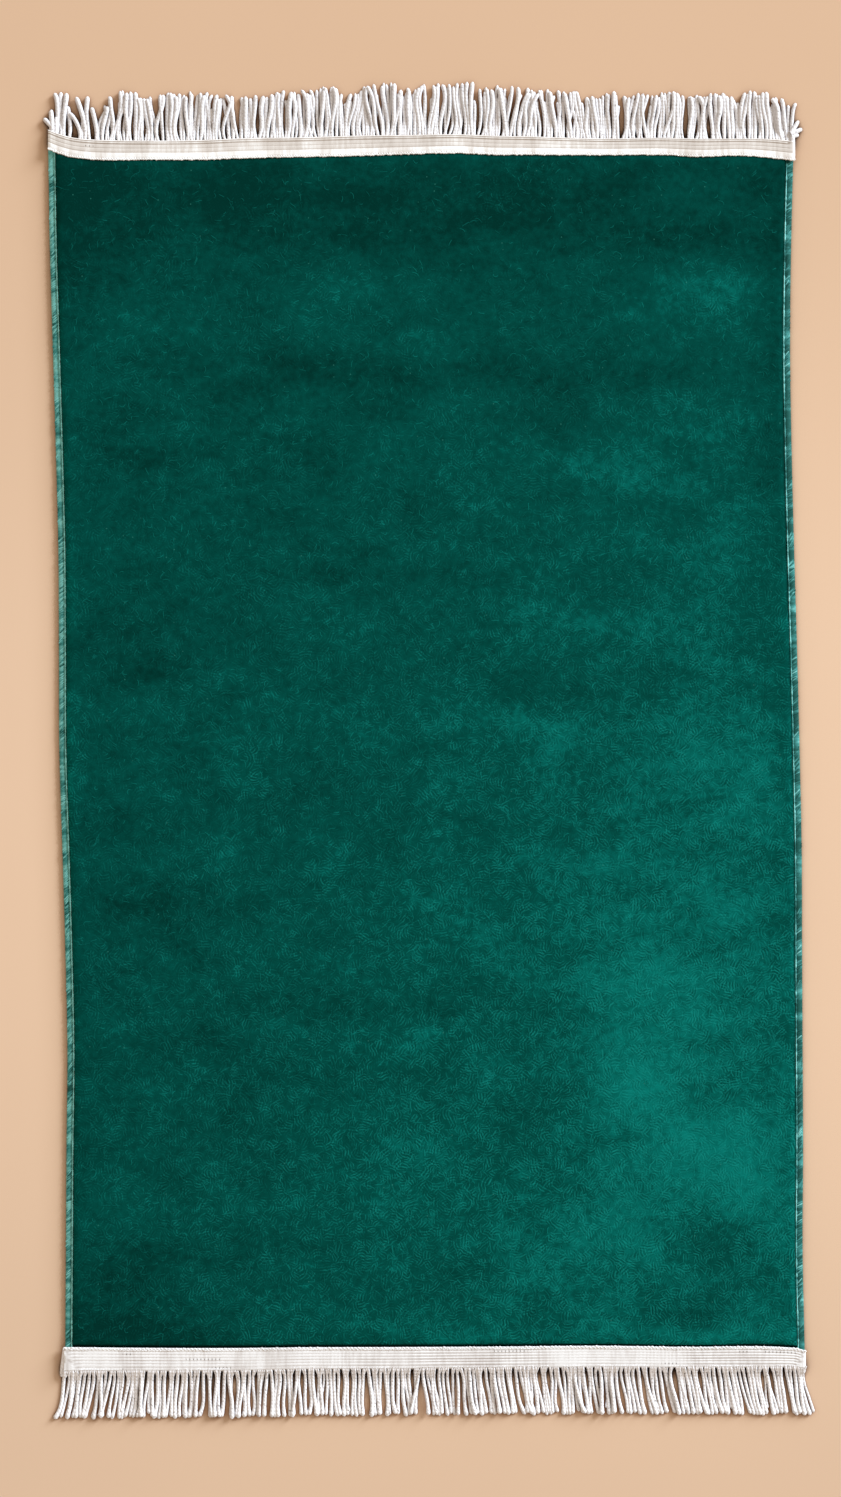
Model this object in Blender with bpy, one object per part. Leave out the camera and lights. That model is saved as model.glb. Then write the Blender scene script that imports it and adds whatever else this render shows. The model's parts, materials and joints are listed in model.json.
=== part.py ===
"""A prayer rug lying flat: a plush pile cloth, an overcast binding along each long side, and a
woven tape with fringe strands across each end.

Metres, +Z up. +Y runs along the rug from its near end to its far end, +X across it to the
right. The origin is on the floor, at the middle of the rug's footprint.
"""

import random
from collections import namedtuple

import bmesh
import bpy
from mathutils import Vector, noise

# The cloth's heights: the pile, the pile's rounded edge, and the pile pressed under a tape.
PILE_TOP = 0.0070
PILE_BROW = 0.0067
PILE_SHOULDER = 0.0058
PRESSED_TOP = 0.0040
PILE_UNEVEN = 0.0005  # how far the pile's top rises and dips
UNEVEN_SPAN = 0.14  # the usual distance between a rise and a dip
SEAM_GAP = 0.0004  # between the pile and what is sewn beside it
WRAP_GAP = 0.0003  # between the selvedge and the binding around it

# The binding's wrapped section, and the thin selvedge of the cloth inside it.
BINDING_WIDTH = 0.0070
BINDING_HEIGHT = 0.0040
BINDING_WALL = 0.0013
BINDING_LIP = 0.0009
BINDING_ROUND = 0.0006
SELVEDGE_LOW = BINDING_LIP + WRAP_GAP
SELVEDGE_HIGH = BINDING_HEIGHT - BINDING_LIP - WRAP_GAP

# The tapes.
TAPE_LOW, TAPE_HIGH = 0.0043, 0.0056
LIP_LOW, LIP_HIGH = 0.0019, 0.0046  # the outer edge, bent down past the cloth's cut end
TAPE_RIBS = 3
TAPE_RIB = 0.0006  # how far each woven rib stands up

# The strands.
STRANDS = 148  # on each tape
STRAND_WIDTH, STRAND_HEIGHT = 0.0030, 0.0024
STRAND_CROWN = 0.72  # width of a strand's top face, as a share of its base
ROOT_SCALE = 0.75  # a strand is slimmer where it leaves the tape
TIP_SCALE = 1.12  # and thicker at its knotted tip
ROOT_DEPTH = 0.0004  # how far a strand's root is sunk into the tape
ROOT_LEVEL = 0.00345  # height of a root's centre
LANDING = 0.013  # from the tape to where a strand reaches the floor
SHORT_LANDING = 0.6  # the same on a short strand, as a share of its length
LEAN_POWER = 1.4  # strands leave the tape straight and lean more towards their tips
TIP_SPACING = 0.0038  # least distance between neighbouring strands at their tips
END_MARGIN = 0.0035  # from the tape's ends to the first and last strand
CLUMP = (2, 5)  # fewest and most strands that lean together
FAR_PULL, NEAR_PULL = 0.80, 0.92  # spacing of a clump's tips, as a share of its roots' spacing
FAR_SWAY, NEAR_SWAY = 0.0028, 0.0010  # how far a clump sways to either side
MERGE = 1e-6

PILE_GREEN = (0.0, 0.085, 0.062, 1.0)
BINDING_TEAL = (0.08, 0.24, 0.20, 1.0)
YARN_WHITE = (0.78, 0.74, 0.69, 1.0)

# The cloth's profile, inwards from a long side of the rug, and inwards from a tape's inner edge.
Step = namedtuple("Step", "inset low high")
PILE_INSET = BINDING_WIDTH + SEAM_GAP
SIDE_PROFILE = (
    Step(BINDING_WALL + WRAP_GAP, SELVEDGE_LOW, SELVEDGE_HIGH),
    Step(PILE_INSET, SELVEDGE_LOW, SELVEDGE_HIGH),
    Step(PILE_INSET + 0.0004, 0.0, PILE_SHOULDER),
    Step(PILE_INSET + 0.0020, 0.0, PILE_BROW),
    Step(PILE_INSET + 0.0060, 0.0, PILE_TOP),
    Step(PILE_INSET + 0.0200, 0.0, PILE_TOP),
)
END_PROFILE = (
    Step(-0.0105, 0.0, PRESSED_TOP),
    Step(SEAM_GAP, 0.0, PRESSED_TOP),
    Step(SEAM_GAP + 0.0006, 0.0, PILE_SHOULDER),
    Step(SEAM_GAP + 0.0022, 0.0, PILE_BROW),
    Step(SEAM_GAP + 0.0065, 0.0, PILE_TOP),
)
COLUMNS_BETWEEN = 12  # evenly spread over the pile, between the two side profiles
ROWS_BETWEEN = 11

# The rug's long sides, outside the bindings.
Side = namedtuple("Side", "y left right")
SIDES = (
    Side(0.5700, -0.3480, 0.3356),
    Side(0.5410, -0.3475, 0.3352),
    Side(0.4585, -0.3462, 0.3333),
    Side(0.3668, -0.3434, 0.3324),
    Side(0.2751, -0.3407, 0.3338),
    Side(0.1834, -0.3384, 0.3361),
    Side(0.0917, -0.3379, 0.3388),
    Side(0.0000, -0.3375, 0.3411),
    Side(-0.0917, -0.3347, 0.3430),
    Side(-0.1834, -0.3320, 0.3434),
    Side(-0.2751, -0.3301, 0.3439),
    Side(-0.3668, -0.3310, 0.3443),
    Side(-0.4585, -0.3315, 0.3439),
    Side(-0.5456, -0.3320, 0.3457),
    Side(-0.5700, -0.3320, 0.3460),
)

# A tape's lines across the rug: its inner edge, sewn along the pile, and its outer edge, where
# the strands leave it.
Line = namedtuple("Line", "x seam root")
FAR_TAPE = (
    Line(-0.3475, 0.5516, 0.5685),
    Line(-0.3370, 0.5474, 0.5644),
    Line(-0.3232, 0.5438, 0.5608),
    Line(-0.3003, 0.5419, 0.5586),
    Line(-0.2545, 0.5415, 0.5575),
    Line(-0.2086, 0.5424, 0.5580),
    Line(-0.1169, 0.5447, 0.5621),
    Line(-0.0252, 0.5470, 0.5635),
    Line(0.0300, 0.5468, 0.5653),
    Line(0.0940, 0.5466, 0.5644),
    Line(0.1582, 0.5461, 0.5612),
    Line(0.2132, 0.5458, 0.5600),
    Line(0.2499, 0.5447, 0.5589),
    Line(0.2866, 0.5453, 0.5594),
    Line(0.3141, 0.5433, 0.5590),
    Line(0.3365, 0.5410, 0.5577),
)
NEAR_TAPE = (
    Line(-0.3335, -0.5468, -0.5695),
    Line(-0.2545, -0.5475, -0.5693),
    Line(-0.1830, -0.5478, -0.5686),
    Line(-0.0700, -0.5458, -0.5674),
    Line(0.0665, -0.5447, -0.5670),
    Line(0.1582, -0.5456, -0.5666),
    Line(0.2490, -0.5474, -0.5662),
    Line(0.3000, -0.5457, -0.5659),
    Line(0.3350, -0.5474, -0.5657),
    Line(0.3465, -0.5500, -0.5663),
)

# How the strands lie along each tape: how far their tips lean towards +X, how long they are,
# and by how much their lengths vary.
Lay = namedtuple("Lay", "x lean length spread")
FAR_LAY = (
    Lay(-0.3450, -0.0050, 0.013, 0.001),
    Lay(-0.3400, -0.0060, 0.027, 0.001),
    Lay(-0.3340, -0.0030, 0.041, 0.003),
    Lay(-0.3080, -0.0050, 0.042, 0.003),
    Lay(-0.2980, 0.0030, 0.039, 0.004),
    Lay(-0.2300, -0.0010, 0.038, 0.004),
    Lay(-0.1400, 0.0020, 0.038, 0.004),
    Lay(-0.0300, -0.0010, 0.040, 0.005),
    Lay(0.0600, 0.0020, 0.041, 0.005),
    Lay(0.1600, -0.0010, 0.038, 0.004),
    Lay(0.2400, 0.0030, 0.038, 0.003),
    Lay(0.2900, 0.0000, 0.038, 0.004),
    Lay(0.3220, -0.0010, 0.037, 0.003),
    Lay(0.3290, 0.0040, 0.022, 0.001),
    Lay(0.3330, 0.0060, 0.013, 0.001),
)
NEAR_LAY = (
    Lay(-0.3335, -0.0110, 0.0385, 0.001),
    Lay(-0.3000, -0.0070, 0.0390, 0.001),
    Lay(-0.2400, -0.0020, 0.0390, 0.001),
    Lay(-0.1200, 0.0000, 0.0390, 0.001),
    Lay(0.0000, 0.0030, 0.0385, 0.001),
    Lay(0.1500, 0.0040, 0.0385, 0.001),
    Lay(0.2700, 0.0050, 0.0385, 0.001),
    Lay(0.3465, 0.0070, 0.0390, 0.001),
)


def smooth(table, column, at):
    """A table's column, on a smooth curve through its rows, at a value of its first column."""
    rows = sorted(table)
    at = min(max(at, rows[0][0]), rows[-1][0])
    after = next(i for i in range(1, len(rows)) if at <= rows[i][0])
    low, high = rows[after - 1], rows[after]
    before, beyond = rows[max(after - 2, 0)], rows[min(after + 1, len(rows) - 1)]

    def value(row):
        return getattr(row, column)

    span = high[0] - low[0]
    start = (value(high) - value(before)) / (high[0] - before[0]) * span
    end = (value(beyond) - value(low)) / (beyond[0] - low[0]) * span
    t = (at - low[0]) / span
    return (
        (2 * t**3 - 3 * t**2 + 1) * value(low)
        + (t**3 - 2 * t**2 + t) * start
        + (3 * t**2 - 2 * t**3) * value(high)
        + (t**3 - t**2) * end
    )


def stations(start, stop, profile, between):
    """Places from start to stop: a profile's insets at both ends, and even steps in between."""
    first, last = start + profile[-1].inset, stop - profile[-1].inset
    middle = [first + (last - first) * i / (between + 1) for i in range(1, between + 1)]
    head = [start + step.inset for step in profile]
    tail = [stop - step.inset for step in reversed(profile)]
    return head + middle + tail


def heights(profile, between):
    """The profile's low and high at each of those places."""
    return list(profile) + [profile[-1]] * between + list(reversed(profile))


def columns_at(y):
    """Where the cloth's columns cross a level y."""
    return stations(smooth(SIDES, "left", y), smooth(SIDES, "right", y), SIDE_PROFILE, COLUMNS_BETWEEN)


def rows_at(x):
    """Where the cloth's rows cross a level x."""
    near, far = smooth(NEAR_TAPE, "seam", x), smooth(FAR_TAPE, "seam", x)
    return stations(near, far, END_PROFILE, ROWS_BETWEEN)


def cloth_material(name, colour, roughness):
    material = bpy.data.materials.new(name)
    material.use_nodes = True
    shader = material.node_tree.nodes["Principled BSDF"]
    shader.inputs["Base Color"].default_value = colour
    shader.inputs["Roughness"].default_value = roughness
    shader.inputs["Metallic"].default_value = 0.0
    return material


def slab(name, columns, rows, place):
    """A closed slab on a grid. place(column, row) gives x, y, the low z and the high z there."""
    shape = bmesh.new()
    bmesh.ops.create_grid(shape, x_segments=columns - 1, y_segments=rows - 1, size=0.5)
    sheet = list(shape.verts) + list(shape.edges) + list(shape.faces)
    raised = bmesh.ops.extrude_face_region(shape, geom=sheet, use_keep_orig=True)["geom"]
    top = [item for item in raised if isinstance(item, bmesh.types.BMVert)]
    bmesh.ops.translate(shape, verts=top, vec=(0.0, 0.0, 1.0))
    bmesh.ops.recalc_face_normals(shape, faces=list(shape.faces))
    for point in shape.verts:
        column = round((point.co.x + 0.5) * (columns - 1))
        row = round((point.co.y + 0.5) * (rows - 1))
        x, y, low, high = place(column, row)
        point.co = (x, y, high if point.co.z > 0.5 else low)
    mesh = bpy.data.meshes.new(name)
    shape.to_mesh(mesh)
    shape.free()
    return bpy.data.objects.new(name, mesh)


def pile_cloth():
    """The plush cloth: thick under its pile, pressed under the tapes, thin at its selvedges."""
    across = heights(SIDE_PROFILE, COLUMNS_BETWEEN)
    along = heights(END_PROFILE, ROWS_BETWEEN)
    middle_rows = rows_at(0.0)

    def place(column, row):
        x = columns_at(middle_rows[row])[column]
        y = rows_at(x)[row]
        low = max(across[column].low, along[row].low)
        high = min(across[column].high, along[row].high)
        if high == PILE_TOP:
            high += PILE_UNEVEN * noise.noise(Vector((x, y, 0.0)) / UNEVEN_SPAN)
        return x, y, low, high

    return slab("pile_cloth", len(across), len(along), place)


def tape(name, lines):
    """A woven tape with ribs along it, between its inner and its outer edge."""
    outward = 1 if lines[0].root > lines[0].seam else -1
    across = [lines[0].x] + columns_at(smooth(lines, "seam", 0.0)) + [lines[-1].x]
    ridges = 2 * TAPE_RIBS + 1

    def place(column, row):
        x = across[column]
        seam, root = smooth(lines, "seam", x), smooth(lines, "root", x)
        out = row if outward > 0 else ridges - 1 - row
        y = seam + (root - seam) * out / (ridges - 1)
        if out == ridges - 1:
            return x, y, LIP_LOW, LIP_HIGH
        return x, y, TAPE_LOW, TAPE_HIGH + (TAPE_RIB if out % 2 else 0.0)

    return slab(name, len(across), ridges, place)


def drawn_section(name, outline, helpers):
    """A closed outline that a curve is drawn with."""
    curve = bpy.data.curves.new(name, "CURVE")
    curve.dimensions = "2D"
    spline = curve.splines.new("POLY")
    spline.points.add(len(outline) - 1)
    for point, (across, up) in zip(spline.points, outline):
        point.co = (across, up, 0.0, 1.0)
    spline.use_cyclic_u = True
    section = bpy.data.objects.new(name, curve)
    section.hide_render = True
    helpers.objects.link(section)
    return section


def drawn(name, paths, section):
    """A closed solid of the section along each path. A path's points are (x, y, z, scale)."""
    curve = bpy.data.curves.new(name, "CURVE")
    curve.dimensions = "3D"
    curve.twist_mode = "Z_UP"
    curve.bevel_mode = "OBJECT"
    curve.bevel_object = section
    curve.use_fill_caps = True
    for path in paths:
        spline = curve.splines.new("POLY")
        spline.points.add(len(path) - 1)
        for point, (x, y, z, scale) in zip(spline.points, path):
            point.co = (x, y, z, 1.0)
            point.radius = scale
    line = bpy.data.objects.new(name, curve)
    bpy.context.scene.collection.objects.link(line)
    graph = bpy.context.evaluated_depsgraph_get()
    mesh = bpy.data.meshes.new_from_object(line.evaluated_get(graph))
    bpy.data.objects.remove(line)
    shape = bmesh.new()
    shape.from_mesh(mesh)
    bmesh.ops.remove_doubles(shape, verts=list(shape.verts), dist=MERGE)
    bmesh.ops.recalc_face_normals(shape, faces=list(shape.faces))
    shape.to_mesh(mesh)
    shape.free()
    return bpy.data.objects.new(name, mesh)


def clumped(tips, pull, sway, dice):
    """The tips' places across the rug, drawn together in clumps but never touching."""
    tips = list(tips)
    first = 0
    while first < len(tips):
        last = min(first + dice.randint(*CLUMP), len(tips))
        shift = dice.uniform(-sway, sway)
        middle = sum(tips[first:last]) / (last - first)
        for i in range(first, last):
            tips[i] = middle + (tips[i] - middle) * pull + shift
        first = last
    rising, falling = list(tips), list(tips)
    for i in range(1, len(tips)):
        rising[i] = max(rising[i], rising[i - 1] + TIP_SPACING)
    for i in range(len(tips) - 2, -1, -1):
        falling[i] = min(falling[i], falling[i + 1] - TIP_SPACING)
    return [(a + b) / 2 for a, b in zip(rising, falling)]


def strand_path(lines, root, lean, usual, length):
    """A strand's path: out of the tape, down to the floor, and level along it to the tip."""
    outward = 1 if lines[0].root > lines[0].seam else -1
    edge = smooth(lines, "root", root)
    rest = STRAND_HEIGHT / 2
    landing = min(LANDING, SHORT_LANDING * length)
    stops = (  # distance from the tape, height of the centre, scale of the section
        (-ROOT_DEPTH, ROOT_LEVEL, ROOT_SCALE),
        (landing, rest, 1.0),
        ((landing + length) / 2, rest, 1.0),
        (length, rest * TIP_SCALE, TIP_SCALE),
    )
    path = []
    for out, level, scale in stops:
        share = min(max(out, 0.0) / usual, 1.0)
        path.append((root + lean * share**LEAN_POWER, edge + outward * out, level, scale))
    return path


def strand_paths(lines, lay, pull, sway, seed):
    dice = random.Random(seed)
    start, stop = lines[0].x + END_MARGIN, lines[-1].x - END_MARGIN
    roots = [start + (stop - start) * i / (STRANDS - 1) for i in range(STRANDS)]
    tips = clumped([root + smooth(lay, "lean", root) for root in roots], pull, sway, dice)
    paths = []
    for root, tip in zip(roots, tips):
        spread = smooth(lay, "spread", root)
        usual = smooth(lay, "length", root)
        length = usual + dice.uniform(-spread, spread)
        paths.append(strand_path(lines, root, tip - root, usual, length))
    return paths


def fringe(name, lines, paths, helpers):
    """A tape with its strands fused to it."""
    half_width, half_height = STRAND_WIDTH / 2, STRAND_HEIGHT / 2
    outline = (
        (-half_width, -half_height),
        (half_width, -half_height),
        (STRAND_CROWN * half_width, half_height),
        (-STRAND_CROWN * half_width, half_height),
    )
    section = drawn_section(name + "_section", outline, helpers)
    strands = drawn(name + "_strands", paths, section)
    strands.hide_render = True
    strands.display_type = "WIRE"
    helpers.objects.link(strands)
    made = tape(name, lines)
    join = made.modifiers.new("strands", "BOOLEAN")
    join.operation = "UNION"
    join.object = strands
    return made


def binding(side, helpers):
    """The overcast edge along one long side, wrapped over and under the cloth's selvedge."""
    inwards = {"left": 1, "right": -1}[side]
    width, height, soft = BINDING_WIDTH, BINDING_HEIGHT, BINDING_ROUND
    wrapped = (  # distance inwards from the rug's side, height
        (0.0, 2.0 * soft),
        (0.6 * soft, 0.6 * soft),
        (2.0 * soft, 0.0),
        (width, 0.0),
        (width, BINDING_LIP),
        (BINDING_WALL, BINDING_LIP),
        (BINDING_WALL, height - BINDING_LIP),
        (width, height - BINDING_LIP),
        (width, height - 0.6 * soft),
        (width - soft, height),
        (2.0 * soft, height),
        (0.6 * soft, height - 0.6 * soft),
        (0.0, height - 2.0 * soft),
    )
    section = drawn_section(f"binding_{side}_section", [(inwards * x, z) for x, z in wrapped], helpers)
    middle_rows = rows_at(0.0)
    last, inner = len(middle_rows) - 1, len(END_PROFILE) - 1
    path = []
    for row in [0, *range(inner, last - inner + 1), last]:
        x = smooth(SIDES, side, middle_rows[row])
        path.append((x, rows_at(x)[row], 0.0, 1.0))
    return drawn("binding_" + side, [path], section)


def main():
    for old in list(bpy.data.objects):
        bpy.data.objects.remove(old)
    rug = bpy.data.collections.new("prayer_rug")
    helpers = bpy.data.collections.new("helpers")
    for group in (rug, helpers):
        bpy.context.scene.collection.children.link(group)

    pile = cloth_material("pile", PILE_GREEN, 0.95)
    teal = cloth_material("binding", BINDING_TEAL, 0.85)
    yarn = cloth_material("fringe_yarn", YARN_WHITE, 0.90)
    far_strands = strand_paths(FAR_TAPE, FAR_LAY, FAR_PULL, FAR_SWAY, seed=11)
    near_strands = strand_paths(NEAR_TAPE, NEAR_LAY, NEAR_PULL, NEAR_SWAY, seed=12)
    pieces = (
        (pile_cloth(), pile),
        (binding("left", helpers), teal),
        (binding("right", helpers), teal),
        (fringe("fringe_far", FAR_TAPE, far_strands, helpers), yarn),
        (fringe("fringe_near", NEAR_TAPE, near_strands, helpers), yarn),
    )
    for piece, material in pieces:
        rug.objects.link(piece)
        piece.data.materials.append(material)


main()
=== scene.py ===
"""The looks of a plush prayer rug: brushed pile, overcast sides, and fringed tapes across its ends.

Metres, +Z up. +Y runs along the rug to its far end, +X across it to the right. Each button in the
sidebar makes one piece, or one group of like pieces, around the rug's fixed frame.
"""

import json
import math
import random
from collections import namedtuple
from functools import reduce

import bmesh
import bpy
from bpy.props import FloatProperty, FloatVectorProperty, IntProperty, PointerProperty
from bpy.types import Operator, Panel, PropertyGroup
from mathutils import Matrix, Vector, noise

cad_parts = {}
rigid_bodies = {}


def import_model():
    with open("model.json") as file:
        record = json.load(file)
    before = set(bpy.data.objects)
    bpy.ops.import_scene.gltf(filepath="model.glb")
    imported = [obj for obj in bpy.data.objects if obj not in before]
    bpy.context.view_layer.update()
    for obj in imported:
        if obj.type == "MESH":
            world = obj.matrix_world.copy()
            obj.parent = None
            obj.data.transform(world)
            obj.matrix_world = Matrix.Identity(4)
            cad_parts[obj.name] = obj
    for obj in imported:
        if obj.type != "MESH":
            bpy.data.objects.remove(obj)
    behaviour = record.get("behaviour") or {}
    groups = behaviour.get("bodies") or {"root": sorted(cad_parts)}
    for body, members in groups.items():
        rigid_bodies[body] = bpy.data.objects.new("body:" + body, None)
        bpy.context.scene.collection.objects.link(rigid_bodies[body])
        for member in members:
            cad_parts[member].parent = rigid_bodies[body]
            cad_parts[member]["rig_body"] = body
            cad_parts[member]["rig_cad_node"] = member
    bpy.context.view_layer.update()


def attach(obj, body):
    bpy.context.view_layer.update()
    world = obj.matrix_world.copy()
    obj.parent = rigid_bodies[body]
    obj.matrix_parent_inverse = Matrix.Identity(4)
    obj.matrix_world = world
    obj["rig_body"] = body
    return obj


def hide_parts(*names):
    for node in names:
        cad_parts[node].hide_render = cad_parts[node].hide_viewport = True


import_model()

bl_info = {
    "name": "Prayer Rug",
    "version": (1, 0, 0),
    "blender": (4, 5, 0),
    "location": "3D View > Sidebar > Rug",
    "description": "Makes a plush prayer rug with overcast sides and fringed tapes",
    "category": "Add Mesh",
}

BODY = "root"


def table(row, *values):
    """A table: a named row for each set of values."""
    return tuple(row(*set_of) for set_of in values)


# The rug as it lies: its long sides, outside the bindings.
Side = namedtuple("Side", "y left right")
SIDES = table(
    Side,
    (0.5700, -0.3480, 0.3356), (0.5410, -0.3475, 0.3352), (0.4585, -0.3462, 0.3333),
    (0.3668, -0.3434, 0.3324), (0.2751, -0.3407, 0.3338), (0.1834, -0.3384, 0.3361),
    (0.0917, -0.3379, 0.3388), (0.0000, -0.3375, 0.3411), (-0.0917, -0.3347, 0.3430),
    (-0.1834, -0.3320, 0.3434), (-0.2751, -0.3301, 0.3439), (-0.3668, -0.3310, 0.3443),
    (-0.4585, -0.3315, 0.3439), (-0.5456, -0.3320, 0.3457), (-0.5700, -0.3320, 0.3460),
)

# The tapes: the edge sewn along the pile, and the edge that the strands leave.
Line = namedtuple("Line", "x seam root")
FAR_TAPE = table(
    Line,
    (-0.3475, 0.5516, 0.5685), (-0.3370, 0.5474, 0.5644), (-0.3232, 0.5438, 0.5608),
    (-0.3003, 0.5417, 0.5590), (-0.2545, 0.5418, 0.5582), (-0.2086, 0.5419, 0.5588),
    (-0.1630, 0.5434, 0.5606), (-0.1169, 0.5444, 0.5612), (-0.0650, 0.5454, 0.5628),
    (-0.0252, 0.5467, 0.5633), (0.0270, 0.5479, 0.5640), (0.0600, 0.5465, 0.5628),
    (0.0940, 0.5464, 0.5621), (0.1582, 0.5460, 0.5602), (0.2132, 0.5463, 0.5608),
    (0.2499, 0.5447, 0.5600), (0.2866, 0.5457, 0.5602), (0.3141, 0.5435, 0.5598),
    (0.3365, 0.5410, 0.5577),
)
NEAR_TAPE = table(
    Line,
    (-0.3335, -0.5468, -0.5695), (-0.2545, -0.5475, -0.5693), (-0.1830, -0.5477, -0.5690),
    (-0.1100, -0.5470, -0.5676), (-0.0300, -0.5468, -0.5674), (0.0665, -0.5463, -0.5664),
    (0.1582, -0.5456, -0.5656), (0.2400, -0.5466, -0.5658), (0.3000, -0.5460, -0.5659),
    (0.3350, -0.5474, -0.5657), (0.3465, -0.5500, -0.5663),
)

# A tape's woven ribs, from its seam to its outer edge: share of its width, height of its face, and how dim
# the yarn is there, which is painted shade in the grooves between ribs and the yarn's own tone on the bands
# between them.
Rib = namedtuple("Rib", "share height dim")
FAR_RIBS = table(
    Rib,
    (0.00, 0.0068, 0.00), (0.05, 0.0070, 0.00), (0.16, 0.0071, 0.00), (0.26, 0.0070, 0.03),
    (0.32, 0.0065, 0.50), (0.36, 0.0067, 0.24), (0.50, 0.0067, 0.22), (0.54, 0.0064, 0.46),
    (0.58, 0.0066, 0.24), (0.70, 0.0066, 0.26), (0.75, 0.0063, 0.70), (0.78, 0.0061, 0.95),
    (0.81, 0.0064, 0.30), (0.85, 0.0065, 0.08), (0.88, 0.0062, 0.70), (0.91, 0.0060, 1.00),
    (0.94, 0.0062, 0.20), (0.97, 0.0061, 0.14), (1.00, 0.0046, 0.70),
)
NEAR_RIBS = table(
    Rib,
    (0.00, 0.0060, 0.10), (0.05, 0.0067, 0.00), (0.11, 0.0066, 0.02), (0.15, 0.0063, 0.30),
    (0.19, 0.0066, 0.04), (0.24, 0.0066, 0.04), (0.28, 0.0062, 0.46), (0.32, 0.0066, 0.04),
    (0.37, 0.0066, 0.04), (0.41, 0.0062, 0.52), (0.45, 0.0066, 0.05), (0.50, 0.0066, 0.05),
    (0.54, 0.0061, 0.60), (0.58, 0.0065, 0.06), (0.63, 0.0065, 0.06), (0.67, 0.0061, 0.46),
    (0.71, 0.0065, 0.00), (0.77, 0.0064, 0.02), (0.81, 0.0060, 0.62), (0.85, 0.0063, 0.12),
    (0.92, 0.0061, 0.16), (1.00, 0.0044, 0.50),
)

# How plainly a tape's ribs show along it.
Show = namedtuple("Show", "x ribs")
FAR_SHOW = table(
    Show,
    (-0.3475, 1.0), (-0.2000, 0.8), (0.0300, 1.0), (0.3365, 0.9),
)
NEAR_SHOW = table(
    Show,
    (-0.3335, 1.0), (-0.3080, 0.3), (-0.2700, 0.6), (-0.2000, 0.5), (-0.1500, 0.3), (-0.0300, 0.6),
    (0.0000, 1.0), (0.0900, 0.8), (0.1300, 0.3), (0.2200, 0.3), (0.2500, 0.9), (0.3465, 1.0),
)

# Rows of small holes in a tape: from where to where, and at which share of its width.
Holes = namedtuple("Holes", "start stop share")
FAR_HOLES = table(Holes, (-0.315, -0.306, 0.62))
NEAR_HOLES = table(
    Holes,
    (-0.279, -0.270, 0.26), (-0.222, -0.189, 0.47), (-0.281, -0.276, 0.89), (-0.197, -0.179, 0.84),
    (0.061, 0.091, 0.20), (0.214, 0.230, 0.78), (0.284, 0.293, 0.24), (0.308, 0.337, 0.24),
)

# How the strands lie along each tape: how far their tips lean towards +X, and their length.
Lay = namedtuple("Lay", "x lean length")
FAR_LAY = table(
    Lay,
    (-0.3450, -0.0050, 0.013), (-0.3400, -0.0060, 0.027), (-0.3340, -0.0030, 0.041),
    (-0.3080, -0.0050, 0.042), (-0.2980, 0.0030, 0.039), (-0.2300, -0.0010, 0.038),
    (-0.1400, 0.0020, 0.038), (-0.0300, -0.0010, 0.040), (0.0600, 0.0020, 0.041),
    (0.1600, -0.0010, 0.038), (0.2400, 0.0030, 0.038), (0.2900, 0.0000, 0.038), (0.3220, 0.0000, 0.038),
    (0.3300, 0.0030, 0.037), (0.3365, 0.0040, 0.034),
)
NEAR_LAY = table(
    Lay,
    (-0.3335, -0.0078, 0.0395), (-0.3000, -0.0050, 0.0390), (-0.2500, -0.0045, 0.0390),
    (-0.1900, -0.0020, 0.0390), (-0.1200, 0.0005, 0.0390), (-0.0500, 0.0020, 0.0385),
    (0.0100, 0.0042, 0.0385), (0.1200, 0.0058, 0.0388), (0.2000, 0.0080, 0.0390),
    (0.2600, 0.0090, 0.0392), (0.3465, 0.0080, 0.0392),
)
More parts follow.
